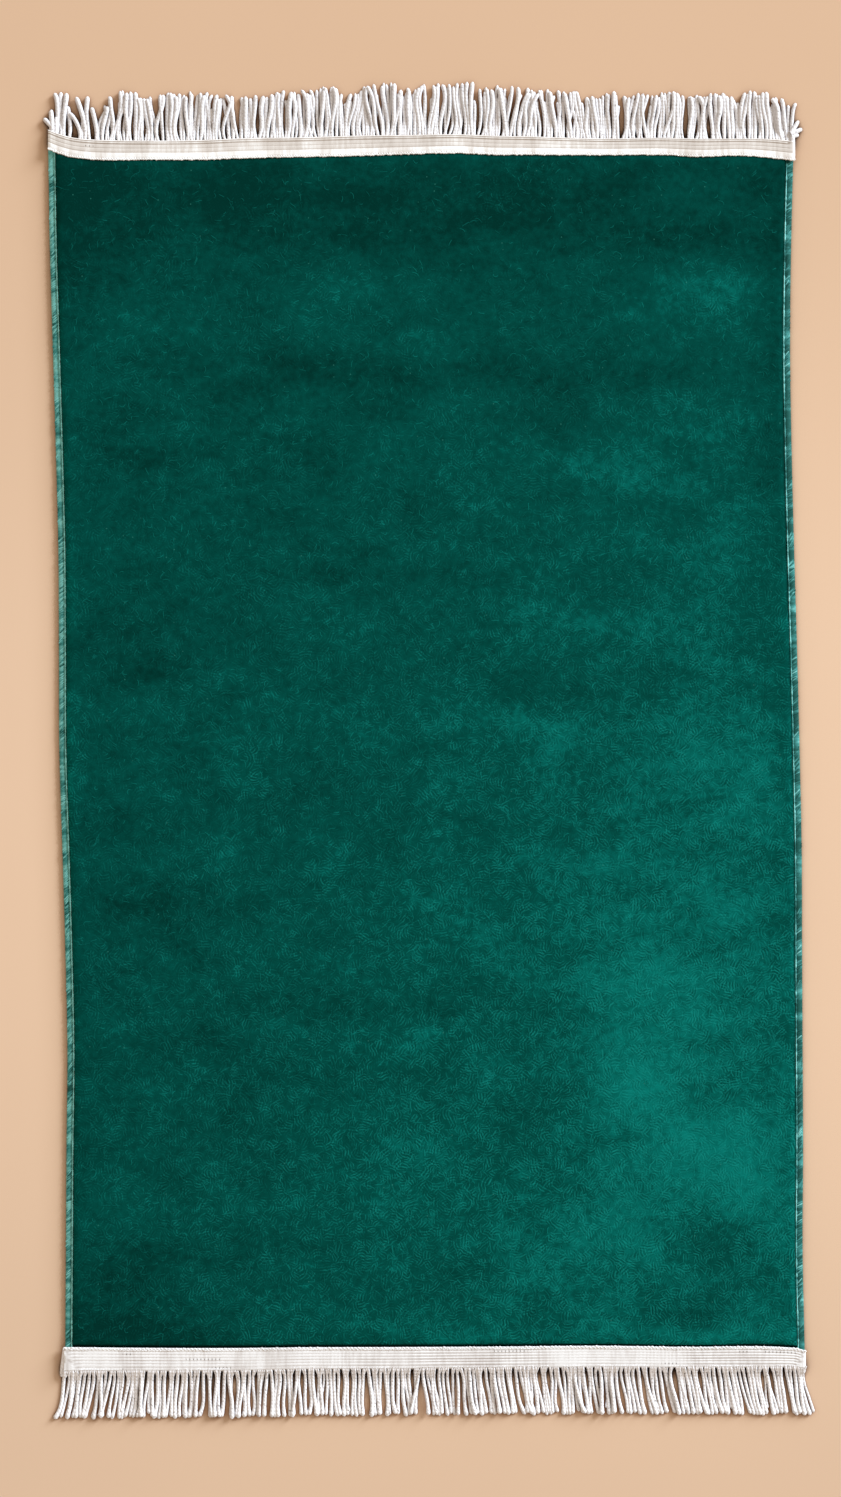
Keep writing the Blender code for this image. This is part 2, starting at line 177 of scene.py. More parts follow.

# Where the pile is brushed lighter or darker, mostly the sheen of its nap painted in: middle of each patch,
# half its size, strength. The narrow patches along the sides also paint light and shade on the pile's rounded
# edges: darker on the right, where the lamp lights the edge, and lighter on the left, which faces away from
# it.
Patch = namedtuple("Patch", "x y wide high light")
BRUSHED = table(
    Patch,
    (-0.020, 0.500, 0.420, 0.055, -0.42), (-0.320, 0.480, 0.050, 0.060, -0.22),
    (-0.230, 0.478, 0.050, 0.022, 0.12), (0.210, 0.475, 0.090, 0.022, -0.20),
    (-0.078, 0.425, 0.060, 0.022, 0.30), (-0.258, 0.385, 0.055, 0.040, 0.30),
    (-0.330, 0.050, 0.012, 0.300, 0.22), (0.325, 0.360, 0.030, 0.230, -0.34),
    (0.335, 0.020, 0.020, 0.120, -0.14), (0.248, 0.415, 0.060, 0.030, 0.30),
    (0.300, 0.528, 0.060, 0.018, -0.14), (-0.110, 0.345, 0.070, 0.028, -0.28),
    (0.130, 0.345, 0.110, 0.020, -0.36), (0.010, 0.372, 0.060, 0.018, 0.10),
    (0.295, 0.330, 0.030, 0.022, 0.20), (-0.265, 0.262, 0.045, 0.012, -0.30),
    (-0.265, 0.222, 0.040, 0.016, 0.14), (-0.120, 0.250, 0.070, 0.022, -0.16),
    (0.150, 0.258, 0.070, 0.018, 0.34), (0.290, 0.200, 0.030, 0.025, 0.16),
    (-0.060, 0.160, 0.090, 0.010, -0.24), (-0.310, 0.110, 0.040, 0.030, -0.22),
    (0.200, 0.115, 0.090, 0.020, 0.22), (-0.255, 0.072, 0.050, 0.022, -0.26),
    (-0.255, 0.040, 0.080, 0.010, 0.20), (0.140, 0.050, 0.050, 0.018, -0.20),
    (0.110, 0.022, 0.110, 0.022, 0.30), (0.285, -0.020, 0.060, 0.050, 0.25),
    (-0.290, -0.070, 0.040, 0.025, -0.24), (-0.230, -0.145, 0.060, 0.030, -0.28),
    (0.020, -0.150, 0.080, 0.040, 0.09), (0.180, -0.140, 0.100, 0.060, 0.20),
    (0.215, -0.212, 0.070, 0.030, 0.50), (0.270, -0.220, 0.040, 0.014, -0.34),
    (-0.060, -0.235, 0.160, 0.014, -0.22), (0.030, -0.255, 0.150, 0.010, 0.16),
    (0.190, -0.300, 0.050, 0.035, 0.78), (0.110, -0.330, 0.045, 0.035, -0.24),
    (-0.190, -0.275, 0.080, 0.020, -0.18), (0.260, -0.375, 0.090, 0.035, 0.60),
    (-0.010, -0.375, 0.050, 0.030, 0.20), (-0.265, -0.420, 0.070, 0.025, 0.10),
    (0.165, -0.450, 0.080, 0.030, 0.36), (0.265, -0.460, 0.035, 0.025, -0.40),
    (0.240, -0.518, 0.045, 0.014, -0.46), (-0.300, -0.500, 0.090, 0.045, -0.50),
    (-0.200, -0.340, 0.140, 0.110, -0.11), (-0.100, -0.462, 0.120, 0.030, -0.10),
    (0.300, -0.120, 0.090, 0.300, 0.11), (0.230, -0.535, 0.110, 0.012, 0.30),
    (-0.240, -0.533, 0.090, 0.013, -0.46), (-0.318, -0.380, 0.020, 0.070, -0.12),
    (0.335, -0.355, 0.018, 0.045, -0.14),
)
ACROSS_TONE = 0.18  # how much lighter the pile is towards +X
ALONG_TONE = 0.16  # how much lighter it is towards the near end
USUAL_TONE = 0.40  # the pile's tone in the middle of the rug
PATCH_STRENGTH = 0.62  # what a patch of strength 1 adds in its middle
HALF_WIDTH, HALF_LENGTH = 0.34, 0.55

# Yarn ends and rolled edges where a tape is folded under at a corner: from a point to a tip, the
# height of its centre at each, and how thick it is.
Stub = namedtuple("Stub", "x y tip_x tip_y level tip_level thick")
FAR_STUBS = table(
    Stub,
    (-0.3443, 0.5500, -0.3437, 0.5765, 0.0046, 0.0034, 0.0058),
    (-0.3407, 0.5530, -0.3402, 0.5800, 0.0048, 0.0030, 0.0044),
    (-0.3440, 0.5710, -0.3516, 0.5788, 0.0040, 0.0026, 0.0044),
    (-0.3436, 0.5680, -0.3448, 0.5868, 0.0046, 0.0024, 0.0042),
    (0.3330, 0.5650, 0.3400, 0.5766, 0.0046, 0.0024, 0.0040),
    (0.3330, 0.5640, 0.3432, 0.5692, 0.0046, 0.0024, 0.0042),
    (0.3335, 0.5620, 0.3400, 0.5636, 0.0046, 0.0026, 0.0040),
    (0.3346, 0.5440, 0.3344, 0.5640, 0.0048, 0.0044, 0.0044),
)
NEAR_STUBS = table(
    Stub,
    (-0.3318, -0.5492, -0.3352, -0.5742, 0.0044, 0.0030, 0.0050),
    (-0.3288, -0.5510, -0.3322, -0.5752, 0.0047, 0.0032, 0.0046),
    (0.3440, -0.5505, 0.3446, -0.5708, 0.0048, 0.0040, 0.0046),
)

# Layers of the cloth and its trim, from the floor up.
GROUND_TOP = 0.0010  # the woven ground under the pile
PILE_FOOT = 0.0011
PRESSED_TOP = 0.0040  # the pile where a tape presses it down
TAPE_FOOT = 0.0042
TAPE_REACH = 0.0100  # how far the cloth goes under a tape
SELVEDGE_INSET = 0.0016  # from the rug's side to the ground's selvedge
CREVICE = 0.0004  # between a binding and the pile beside it
SEAM_CREVICE = 0.0017  # between the near tape and the pile
FAR_CREVICE = 0.0002  # between the far tape and the pile
PILE_STEP = 0.0036  # usual spacing of the points on the pile
# How far in from an edge of the pile its close rows of points are.
EDGE_STEPS = (0.0, 0.0003, 0.0008, 0.0016, 0.0026, 0.0040, 0.0060)
PRESSED_STEPS = (-TAPE_REACH, -0.0002)  # the rows of points under a tape


def smooth(source, column, at):
    """A table's column, on a smooth curve through its rows, at a value of its first column."""
    rows = sorted(source)
    at = min(max(at, rows[0][0]), rows[-1][0])
    after = next(i for i in range(1, len(rows)) if at <= rows[i][0])
    low, high = rows[after - 1], rows[after]
    before, beyond = rows[max(after - 2, 0)], rows[min(after + 1, len(rows) - 1)]

    def value(row):
        return getattr(row, column)

    span = high[0] - low[0]
    start = (value(high) - value(before)) / (high[0] - before[0]) * span
    end = (value(beyond) - value(low)) / (beyond[0] - low[0]) * span
    t = (at - low[0]) / span
    return (
        (2 * t**3 - 3 * t**2 + 1) * value(low)
        + (t**3 - 2 * t**2 + t) * start
        + (3 * t**2 - 2 * t**3) * value(high)
        + (t**3 - t**2) * end
    )


def between(source, column, at):
    """A table's column at a value of its first column, eased from row to row."""
    pairs = zip(source, source[1:])
    low, high = next(pair for pair in pairs if at <= pair[1][0] or pair[1] is source[-1])
    t = min(max((at - low[0]) / (high[0] - low[0]), 0.0), 1.0)
    t = t * t * (3 - 2 * t)
    return getattr(low, column) * (1 - t) + getattr(high, column) * t


def ramp(at, start, stop):
    """0 before start, 1 after stop, and eased between them."""
    t = min(max((at - start) / (stop - start), 0.0), 1.0)
    return t * t * (3 - 2 * t)


def waver(x, y, span, seed=0.0):
    """Smooth noise from about -1 to 1 that rises and falls over a span."""
    return noise.noise(Vector((x / span, y / span, seed)))


# ---------------------------------------------------------------------------------------------
# Node trees
# ---------------------------------------------------------------------------------------------


def live(sockets, name):
    """The socket of that name that is in use, where a node keeps one for each type of value."""
    return next(item for item in sockets if item.name == name and item.enabled)


def add(tree, kind, inputs=None, **settings):
    """A new node in a tree: its settings, and its inputs by name or place, set or linked."""
    made = tree.nodes.new(kind)
    for name, value in settings.items():
        setattr(made, name, value)
    for name, value in (inputs or {}).items():
        target = made.inputs[name] if isinstance(name, int) else live(made.inputs, name)
        if isinstance(value, bpy.types.NodeSocket):
            tree.links.new(value, target)
        else:
            target.default_value = value
    return made


def calc(tree, operation, *values):
    """One step of arithmetic in a tree."""
    return add(tree, "ShaderNodeMath", dict(enumerate(values)), operation=operation).outputs[0]


def vector_calc(tree, operation, *values):
    """One step of vector arithmetic in a tree."""
    return add(tree, "ShaderNodeVectorMath", dict(enumerate(values)), operation=operation).outputs[0]


def noise_at(tree, place, scale, detail=2.0, output="Fac", **inputs):
    """Noise in a tree, at a place, with about scale features a metre."""
    values = {"Vector": place, "Scale": scale, "Detail": detail, **inputs}
    return add(tree, "ShaderNodeTexNoise", values).outputs[output]


def remap(tree, value, low, high, to_low=0.0, to_high=1.0, **settings):
    """A value's range stretched to another range, and held within it."""
    inputs = {"Value": value, "From Min": low, "From Max": high, "To Min": to_low, "To Max": to_high}
    return add(tree, "ShaderNodeMapRange", inputs, **settings).outputs["Result"]


def mottle(tree, place, scale, detail, low, high, to_low=0.0, to_high=1.0, **inputs):
    """Soft-edged patches in a tree: noise with its middle range stretched to another range."""
    return remap(tree, noise_at(tree, place, scale, detail, **inputs), low, high, to_low, to_high)


def fold(operation):
    """A function that works any number of values together in a tree, from the first to the last."""
    return lambda tree, *values: reduce(lambda one, other: calc(tree, operation, one, other), values)


plus, minus, times = fold("ADD"), fold("SUBTRACT"), fold("MULTIPLY")


def axis(tree, vector, name):
    """A vector's X, Y or Z in a tree."""
    return add(tree, "ShaderNodeSeparateXYZ", {"Vector": vector}).outputs[name]


def combine(tree, **parts):
    """A vector in a tree from its X, Y and Z, where one that isn't given is 0."""
    return add(tree, "ShaderNodeCombineXYZ", parts).outputs[0]


def drawn(tree, low, high, seed):
    """A number drawn at random for each item in a tree."""
    inputs = {"Min": low, "Max": high, "Seed": seed}
    return live(add(tree, "FunctionNodeRandomValue", inputs, data_type="FLOAT").outputs, "Value")


def known(tree, name):
    """A value that the points of a shape keep under a name."""
    made = add(tree, "GeometryNodeInputNamedAttribute", {"Name": name}, data_type="FLOAT")
    return live(made.outputs, "Attribute")


def store(tree, shape, name, value, domain="POINT", data_type="FLOAT"):
    """A shape with a value kept under a name."""
    inputs = {"Geometry": shape, "Name": name, "Value": value}
    made = add(tree, "GeometryNodeStoreNamedAttribute", inputs, data_type=data_type, domain=domain)
    return made.outputs[0]


def circle(tree, sides, radius=1.0):
    """A flat ring with a few sides."""
    inputs = {"Resolution": sides, "Radius": radius}
    return add(tree, "GeometryNodeCurvePrimitiveCircle", inputs).outputs[0]


def transformed(tree, shape, **inputs):
    """A shape stretched or turned as a whole."""
    return add(tree, "GeometryNodeTransform", {"Geometry": shape, **inputs}).outputs[0]


def shifted(tree, shape, **inputs):
    """A shape with its points moved one by one."""
    return add(tree, "GeometryNodeSetPosition", {"Geometry": shape, **inputs}).outputs[0]


def straight(tree, reach, count):
    """A straight line of points, from reach on one side of the middle to reach on the other."""
    ends = {"Start": combine(tree, X=times(tree, reach, -1.0)), "End": combine(tree, X=reach)}
    line = add(tree, "GeometryNodeCurvePrimitiveLine", ends).outputs[0]
    return add(tree, "GeometryNodeResampleCurve", {"Curve": line, "Count": count}).outputs[0]


def tube(tree, line, section, **inputs):
    """A yarn: a section drawn along a line, its ends closed."""
    values = {"Curve": line, "Profile Curve": section, "Fill Caps": True, **inputs}
    return add(tree, "GeometryNodeCurveToMesh", values).outputs[0]


def curve_of(tree, shape):
    """The base object's lines as curves."""
    return add(tree, "GeometryNodeMeshToCurve", {"Mesh": shape}).outputs[0]


def stops_along(tree, line, pitch):
    """Evenly spaced places along a line, for stitches to be set on."""
    return add(tree, "GeometryNodeCurveToPoints", {"Curve": line, "Length": pitch}, mode="LENGTH").outputs


def set_on(tree, stops, item, **inputs):
    """The same item set on each of many places."""
    values = {"Points": stops["Points"], "Instance": item, **inputs}
    return add(tree, "GeometryNodeInstanceOnPoints", values).outputs[0]


def turned(tree, angle):
    """A turn about Z."""
    return add(tree, "FunctionNodeEulerToRotation", {"Euler": combine(tree, Z=angle)}).outputs[0]


SOCKETS = {float: "NodeSocketFloat", int: "NodeSocketInt", type(None): "NodeSocketMaterial"}


def new_tree(name, **inputs):
    """An empty Geometry Nodes tree with named inputs, each with its default, or None for a material."""
    tree = bpy.data.node_groups.new(name, "GeometryNodeTree")
    tree.interface.new_socket("Geometry", in_out="INPUT", socket_type="NodeSocketGeometry")
    for label, value in inputs.items():
        kind = SOCKETS[type(value)]
        made = tree.interface.new_socket(label.replace("_", " "), in_out="INPUT", socket_type=kind)
        if value is not None:
            made.default_value = value
    tree.interface.new_socket("Geometry", in_out="OUTPUT", socket_type="NodeSocketGeometry")
    return tree, tree.nodes.new("NodeGroupInput").outputs


def end_tree(tree, shape, material, smooth_faces=True):
    """The tree's end: instances made real, smooth or flat faces and the material."""
    real = add(tree, "GeometryNodeRealizeInstances", {"Geometry": shape}).outputs[0]
    shading = {"Geometry": real, "Shade Smooth": smooth_faces}
    soft = add(tree, "GeometryNodeSetShadeSmooth", shading).outputs[0]
    worn = add(tree, "GeometryNodeSetMaterial", {"Geometry": soft, "Material": material}).outputs[0]
    end = tree.nodes.new("NodeGroupOutput")
    tree.links.new(worn, end.inputs[0])


def grow(name, base, tree, **values):
    """The plain mesh that a tree grows from a base object, which is used up."""
    modifier = base.modifiers.new(tree.name, "NODES")
    modifier.node_group = tree
    for item in tree.interface.items_tree:
        key = item.name.replace(" ", "_")
        if item.item_type == "SOCKET" and item.in_out == "INPUT" and key in values:
            modifier[item.identifier] = values[key]
    base.update_tag()
    graph = bpy.context.evaluated_depsgraph_get()
    mesh = bpy.data.meshes.new_from_object(base.evaluated_get(graph))
    base.modifiers.remove(modifier)
    bpy.data.objects.remove(base)
    mesh.name = name
    return placed(name, mesh)


def placed(name, mesh):
    """A mesh's object in the scene, at the origin."""
    if not mesh.vertices:
        raise RuntimeError(name + " came out empty")
    made = bpy.data.objects.new(name, mesh)
    bpy.context.scene.collection.objects.link(made)
    return made


def dressed(piece, slot, *nodes):
    """A finished piece, attached to its body, with the nodes that it stands for hidden; its slot is not used.
    """
    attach(piece, BODY)
    if nodes:
        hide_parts(*nodes)
    return piece


def guide(name, lines, **columns):
    """Open lines of points for a tree to follow, with a value in each column at each point."""
    edges = []
    start = 0
    for line in lines:
        edges += [(i, i + 1) for i in range(start, start + len(line) - 1)]
        start += len(line)
    mesh = bpy.data.meshes.new(name)
    mesh.from_pydata([point for line in lines for point in line], edges, [])
    for key, values in columns.items():
        mesh.attributes.new(key, "FLOAT", "POINT").data.foreach_set("value", values)
    return placed(name, mesh)


def sheet_mesh(name, columns, rows, place, foot, attributes=()):
    """A closed sheet on a grid: place(column, row) gives each point of its face, then a value for
    each attribute. Its sides go down to the foot, and its underside is flat."""
    shape = bmesh.new()
    layers = [shape.verts.layers.float.new(key) for key in attributes]
    grid = []
    for row in range(rows):
        line = []
        for column in range(columns):
            x, y, z, *values = place(column, row)
            point = shape.verts.new((x, y, z))
            for layer, value in zip(layers, values):
                point[layer] = value
            line.append(point)
        grid.append(line)
    for low, high in zip(grid, grid[1:]):
        for a, b, c, d in zip(low, low[1:], high[1:], high):
            shape.faces.new((a, b, c, d))
    rim = [edge for edge in shape.edges if edge.is_boundary]
    skirt = bmesh.ops.extrude_edge_only(shape, edges=rim)["geom"]
    hem = [item for item in skirt if isinstance(item, bmesh.types.BMVert)]
    for point in hem:
        point.co.z = foot(point.co) if callable(foot) else foot
    bottom = [item for item in skirt if isinstance(item, bmesh.types.BMEdge) and item.is_boundary]
    bmesh.ops.holes_fill(shape, edges=bottom, sides=0)
    bmesh.ops.recalc_face_normals(shape, faces=list(shape.faces))
    for face in shape.faces:
        face.smooth = True
    mesh = bpy.data.meshes.new(name)
    shape.to_mesh(mesh)
    shape.free()
    mesh.set_sharp_from_angle(angle=math.radians(50.0))
    return placed(name, mesh)


# ---------------------------------------------------------------------------------------------
# Settings
# ---------------------------------------------------------------------------------------------


def length(name, description, default, low, high):
    """A length that can be changed in the sidebar."""
    return FloatProperty(
        name=name, description=description, default=default, min=low, max=high,
        precision=5, unit="LENGTH", subtype="DISTANCE",
    )


def number(name, description, default, low, high, **more):
    """A plain number that can be changed in the sidebar."""
    return FloatProperty(name=name, description=description, default=default, min=low, max=high, **more)


def whole(name, description, default, low, high):
    """A whole number that can be changed in the sidebar."""
    return IntProperty(name=name, description=description, default=default, min=low, max=high)


def colour(name, description, default):
    """A colour that can be changed in the sidebar."""
    return FloatVectorProperty(
        name=name, description=description, default=default, min=0.0, max=1.0, size=3, subtype="COLOR"
    )


class RugPile(PropertyGroup):
    """The plush pile and the fine fibres that lie on it."""

    top: length("Pile height", "From the floor to the top of the pile", 0.0070, 0.002, 0.02)
    edge: length("Edge height", "Height of the pile's rounded edge beside a seam", 0.0056, 0.001, 0.02)
    lumps: length("Unevenness", "How far the pile's top rises and dips", 0.0004, 0.0, 0.002)
    fibre_length: length("Fibre length", "Usual length of a fibre lying on the pile", 0.0068, 0.002, 0.03)
    fibre_width: length("Fibre width", "Width of a fibre at its middle", 0.0010, 0.0001, 0.003)
    fibre_curl: number("Fibre curl", "How fast the fibres' swirl turns", 22.0, 0.0, 100.0)
    fibres: whole("Fibres", "Fibres on a square metre, in each layer", 8200, 100, 12000)
    dark: colour("Dark pile", "Pile brushed away from the light", (0.0002, 0.0300, 0.0240))
    middle: colour("Pile", "The pile's usual colour", (0.0005, 0.0680, 0.0560))
    light: colour("Light pile", "Pile brushed towards the light", (0.0020, 0.1780, 0.1530))
    ground: colour("Woven ground", "The plain woven ground on the underside", (0.012, 0.075, 0.060))


class RugBinding(PropertyGroup):
    """The overcast yarn along the long sides."""

    width: length("Width", "Width of the binding, seen from above", 0.0068, 0.002, 0.02)
    height: length("Height", "Height of the binding's top", 0.0040, 0.001, 0.02)
    thread: length("Thread", "Thickness of an overcast thread", 0.0011, 0.0003, 0.004)
    pitch: length("Thread pitch", "Distance from thread to thread", 0.0021, 0.0005, 0.02)
    link: length("Chain link", "Length of a link of the chain stitch beside the pile", 0.0052, 0.001, 0.02)
    # Painted light and painted shade: the same yarn is painted lighter on the left side, which faces away
    # from the lamp, and darker on the right side, which faces it.
    left_tone: number("Left tone", "How much lighter the left yarn is", 0.30, -1.0, 1.0)
    right_tone: number("Right tone", "How much lighter the right yarn is", -0.26, -1.0, 1.0)
    # The dark yarn is painted shade for the gaps between threads, and the light yarn a painted highlight
    # where the yarn shines.
    dark: colour("Dark yarn", "Yarn in the gaps between threads", (0.006, 0.090, 0.078))
    middle: colour("Yarn", "The binding's usual colour", (0.048, 0.268, 0.258))
    light: colour("Light yarn", "Yarn that shines", (0.210, 0.585, 0.570))


class RugFringe(PropertyGroup):
    """The woven tapes and their strands."""

    far_strands: whole("Far strands", "Strands on the far tape", 180, 20, 240)
    near_strands: whole("Near strands", "Strands on the near tape", 176, 20, 240)
    thick: length("Strand thickness", "Thickness of a strand halfway along", 0.0040, 0.001, 0.01)
    far_picot: length("Far picot pitch", "Distance between the far tape's picots", 0.0023, 0.001, 0.01)
    near_picot: length("Near picot pitch", "Distance between the near tape's picots", 0.0034, 0.001, 0.01)
    yarn: colour("Strand yarn", "The strands' colour", (0.925, 0.905, 0.950))
    far_tape: colour("Far tape yarn", "The far tape's brightest yarn", (0.965, 0.965, 0.985))
    far_body: colour("Far tape body", "The far tape's usual yarn", (0.750, 0.698, 0.672))
    # Painted shade in the far tape's grooves.
    far_groove: colour("Far tape grooves", "Yarn in the grooves of the far tape", (0.400, 0.335, 0.290))
    near_tape: colour("Near tape yarn", "The near tape's brightest yarn", (0.925, 0.920, 0.955))
    near_body: colour("Near tape body", "The near tape's usual yarn", (0.765, 0.735, 0.745))
    # Painted shade in the near tape's grooves.
    near_groove: colour("Near tape grooves", "Yarn in the grooves of the near tape", (0.420, 0.360, 0.340))


class RugStage(PropertyGroup):
    """The floor and the light."""

    floor: colour("Floor", "Colour of the floor", (0.728, 0.514, 0.369))
    sky: colour("Room light", "Colour of the light from all around", (1.0, 0.865, 0.700))
    sky_strength: number("Room light strength", "Brightness of that light", 0.60, 0.0, 5.0)
    key: colour("Soft box light", "Colour of the large light at the far right", (0.81, 0.92, 1.0))
    key_power: number("Soft box power", "Power of that large light", 7080.0, 0.0, 20000.0, unit="POWER")


# ---------------------------------------------------------------------------------------------
# Materials
# ---------------------------------------------------------------------------------------------


# Painted highlight: the colour of a curled fibre that catches the light.
FIBRE_HIGHLIGHT = (0.013, 0.262, 0.232)  # a curled fibre that catches the light
SPECK = (0.04, 0.24, 0.20)  # the end of a fibre that stands up
PILE_SHADOW = (0.0002, 0.004, 0.003)
MIDDLE_TONE = 0.48  # the tone of the pile's usual colour


def finish_material(name, roughness, sheen=0.0, specular=0.5):
    """A new material, its tree, its shader and the place that its patterns are laid on."""
    material = bpy.data.materials.new(name)
    material.use_nodes = True
    tree = material.node_tree
    surface = tree.nodes["Principled BSDF"]
    surface.inputs["Roughness"].default_value = roughness
    surface.inputs["Sheen Weight"].default_value = sheen
    surface.inputs["Specular IOR Level"].default_value = specular
    place = tree.nodes.new("ShaderNodeTexCoord").outputs["Object"]
    return material, tree, surface, place


def attribute(tree, name):
    """A value that the piece keeps at each of its points."""
    return add(tree, "ShaderNodeAttribute", attribute_name=name).outputs["Fac"]


def stretched(tree, place, scale):
    """A pattern's place, drawn closer along each axis by its scale."""
    return add(tree, "ShaderNodeMapping", {"Vector": place, "Scale": scale}).outputs[0]


def scaled(shade, share):
    """A colour at a share of its brightness."""
    return tuple(part * share for part in shade)


def blend(tree, share, first, second, mode="MIX"):
    """Two colours mixed, each a colour or a socket."""
    made = add(tree, "ShaderNodeMix", data_type="RGBA", blend_type=mode)
    for socket_name, value in (("Factor", share), ("A", first), ("B", second)):
        target = live(made.inputs, socket_name)
        if isinstance(value, bpy.types.NodeSocket):
            tree.links.new(value, target)
        else:
            target.default_value = value if socket_name == "Factor" else (*value, 1.0)
    return live(made.outputs, "Result")


def shades(tree, tone, low, middle, high):
    """The colour of a tone, blended between three shades, each (tone, colour)."""
    made = add(tree, "ShaderNodeValToRGB", {"Fac": tone})
    stops = made.color_ramp.elements
    for stop, (at, shade) in zip(stops, (low, high)):
        stop.position, stop.color = at, (*shade, 1.0)
    stops.new(middle[0]).color = (*middle[1], 1.0)
    return made.outputs["Color"]


def raise_bumps(tree, surface, height, distance, strength):
    """Fine relief in a material, without a change of shape."""
    inputs = {"Height": height, "Distance": distance, "Strength": strength}
    tree.links.new(add(tree, "ShaderNodeBump", inputs).outputs["Normal"], surface.inputs["Normal"])


def wave(tree, kind, value, length_of):
    """A wave along a value in a tree, as long as length_of."""
    return calc(tree, kind, times(tree, value, 2 * math.pi / length_of))


def brushed_tone(tree, place):
    """How light the brushed pile is, about 0 to 1, mostly its nap's sheen painted in: its patches, and cloudy
    streaks across them.
    """
    streaked = stretched(tree, place, (1.0, 1.8, 1.0))
    cloudy = mottle(tree, streaked, 14.0, 5.0, 0.30, 0.70, -0.15, 0.15, Roughness=0.60, Distortion=0.4)
    mottled = mottle(tree, place, 75.0, 4.0, 0.30, 0.70, -0.10, 0.10, Roughness=0.65)
    tufts = mottle(tree, place, 180.0, 1.0, 0.30, 0.70, -0.09, 0.09)
    return plus(tree, mottled, tufts, cloudy, attribute(tree, "brushed"))


def pile_colours(tree, tone, pile):
    """The pile's colour for a tone."""
    return shades(tree, tone, (0.0, pile.dark), (MIDDLE_TONE, pile.middle), (1.0, pile.light))


# The layers of curled strokes, painted highlights where fibres catch the light: families of strokes on a
# metre, distance from stroke to stroke, and how far the layer's pattern is moved.
CURL_LAYERS = (
    (92.0, 0.0028, (0.3, 0.7, 0.0)),
    (112.0, 0.0026, (1.1, 0.2, 0.0)),
    (134.0, 0.0024, (0.6, 1.9, 0.0)),
)
CURL_BEND = (0.0022, 0.0022, 0.0)  # how far the strokes stray from their arcs
MOST_BOW = 190.0  # how tightly the strokes of a family can be bent
FEWEST, MORE = 0.45, 1.5  # half the number of strokes in a family, and what chance adds to it


def curls(tree, place, scale, pitch, shift):
    """Short curled strokes in families of one to three, side by side, each family turned its own
    way: about 1 on a stroke and below 0 beside it."""
    strayed = vector_calc(tree, "MULTIPLY", noise_at(tree, place, 160.0, 1.0, "Color"), CURL_BEND)
    bent = vector_calc(tree, "ADD", vector_calc(tree, "ADD", place, shift), strayed)
    cells = add(tree, "ShaderNodeTexVoronoi", {"Vector": bent, "Scale": scale}, voronoi_dimensions="2D")
    inside = vector_calc(tree, "SUBTRACT", bent, cells.outputs["Position"])
    x, y = axis(tree, inside, "X"), axis(tree, inside, "Y")
    lot = add(tree, "ShaderNodeSeparateColor", {"Color": cells.outputs["Color"]}).outputs
    turn = times(tree, lot["Red"], 2 * math.pi)
    cosine, sine = calc(tree, "COSINE", turn), calc(tree, "SINE", turn)
    along = plus(tree, times(tree, x, cosine), times(tree, y, sine))
    across = minus(tree, times(tree, y, cosine), times(tree, x, sine))
    bow = times(tree, minus(tree, lot["Green"], 0.5), MOST_BOW)
    across = plus(tree, across, times(tree, bow, times(tree, along, along)))
    strokes = wave(tree, "COSINE", across, pitch)
    widest = times(tree, plus(tree, times(tree, lot["Blue"], MORE), FEWEST), pitch)
    family = remap(tree, minus(tree, calc(tree, "ABSOLUTE", across), widest), 0.0003, -0.0003)
    ends = remap(tree, calc(tree, "ABSOLUTE", along), 0.46 / scale, 0.34 / scale)
    line = minus(tree, remap(tree, strokes, 0.0, 0.95), remap(tree, strokes, -0.2, -0.95, 0.0, 0.45))
    plain = remap(tree, calc(tree, "FRACT", times(tree, lot["Red"], 7.3)), 0.0, 1.0, 0.40, 1.15)
    return times(tree, line, plain, times(tree, family, ends))


def pile_material():
    """Brushed plush: its tones with the nap's sheen painted in, painted highlights of its curled fibres, pale
    specks and the painted shadow along its edges.
    """
    pile = bpy.context.scene.rug_pile
    material, tree, surface, place = finish_material("plush_pile", 1.0, specular=0.02)
    tone = brushed_tone(tree, place)
    lines = plus(tree, 0.0, *(curls(tree, place, *layer) for layer in CURL_LAYERS))
    bare = mottle(tree, place, 55.0, 2.0, 0.36, 0.58, 0.60, 1.0)
    lit = remap(tree, tone, 0.12, 0.48, 0.50, 1.0)
    lines = times(tree, lines, bare, times(tree, attribute(tree, "fuzz"), lit))
    grain = noise_at(tree, place, 900.0, 2.0)
    tone = plus(tree, tone, remap(tree, grain, 0.3, 0.7, -0.05, 0.05), times(tree, lines, 0.15))
    base = pile_colours(tree, tone, pile)
    base = blend(tree, remap(tree, lines, 0.1, 1.2, 0.0, 0.28), base, FIBRE_HIGHLIGHT)
    cells = add(tree, "ShaderNodeTexVoronoi", {"Vector": place, "Scale": 130.0}).outputs
    chosen = add(tree, "ShaderNodeSeparateColor", {"Color": cells["Color"]}).outputs["Red"]
    middles = remap(tree, cells["Distance"], 0.10, 0.05)
    speck = times(tree, middles, calc(tree, "GREATER_THAN", chosen, 0.80))
    base = blend(tree, times(tree, speck, 0.42), base, SPECK)
    # painted shadow along the pile's edges
    base = blend(tree, attribute(tree, "crevice"), base, PILE_SHADOW)
    tree.links.new(base, surface.inputs["Base Color"])
    raise_bumps(tree, surface, plus(tree, times(tree, lines, 0.5), grain), 0.0004, 0.22)
    return material


def fibre_material():
    """The fibres' yarn: the pile's tones, each fibre painted a little lighter in its own measure, as a
    painted highlight.
    """
    pile = bpy.context.scene.rug_pile
    material, tree, surface, place = finish_material("pile_fibre", 1.0, specular=0.02)
    lighter = attribute(tree, "lightness")
    base = pile_colours(tree, plus(tree, brushed_tone(tree, place), lighter), pile)
    base = blend(tree, remap(tree, lighter, 0.0, 0.24, 0.02, 0.18), base, FIBRE_HIGHLIGHT)
    tree.links.new(base, surface.inputs["Base Color"])
    return material


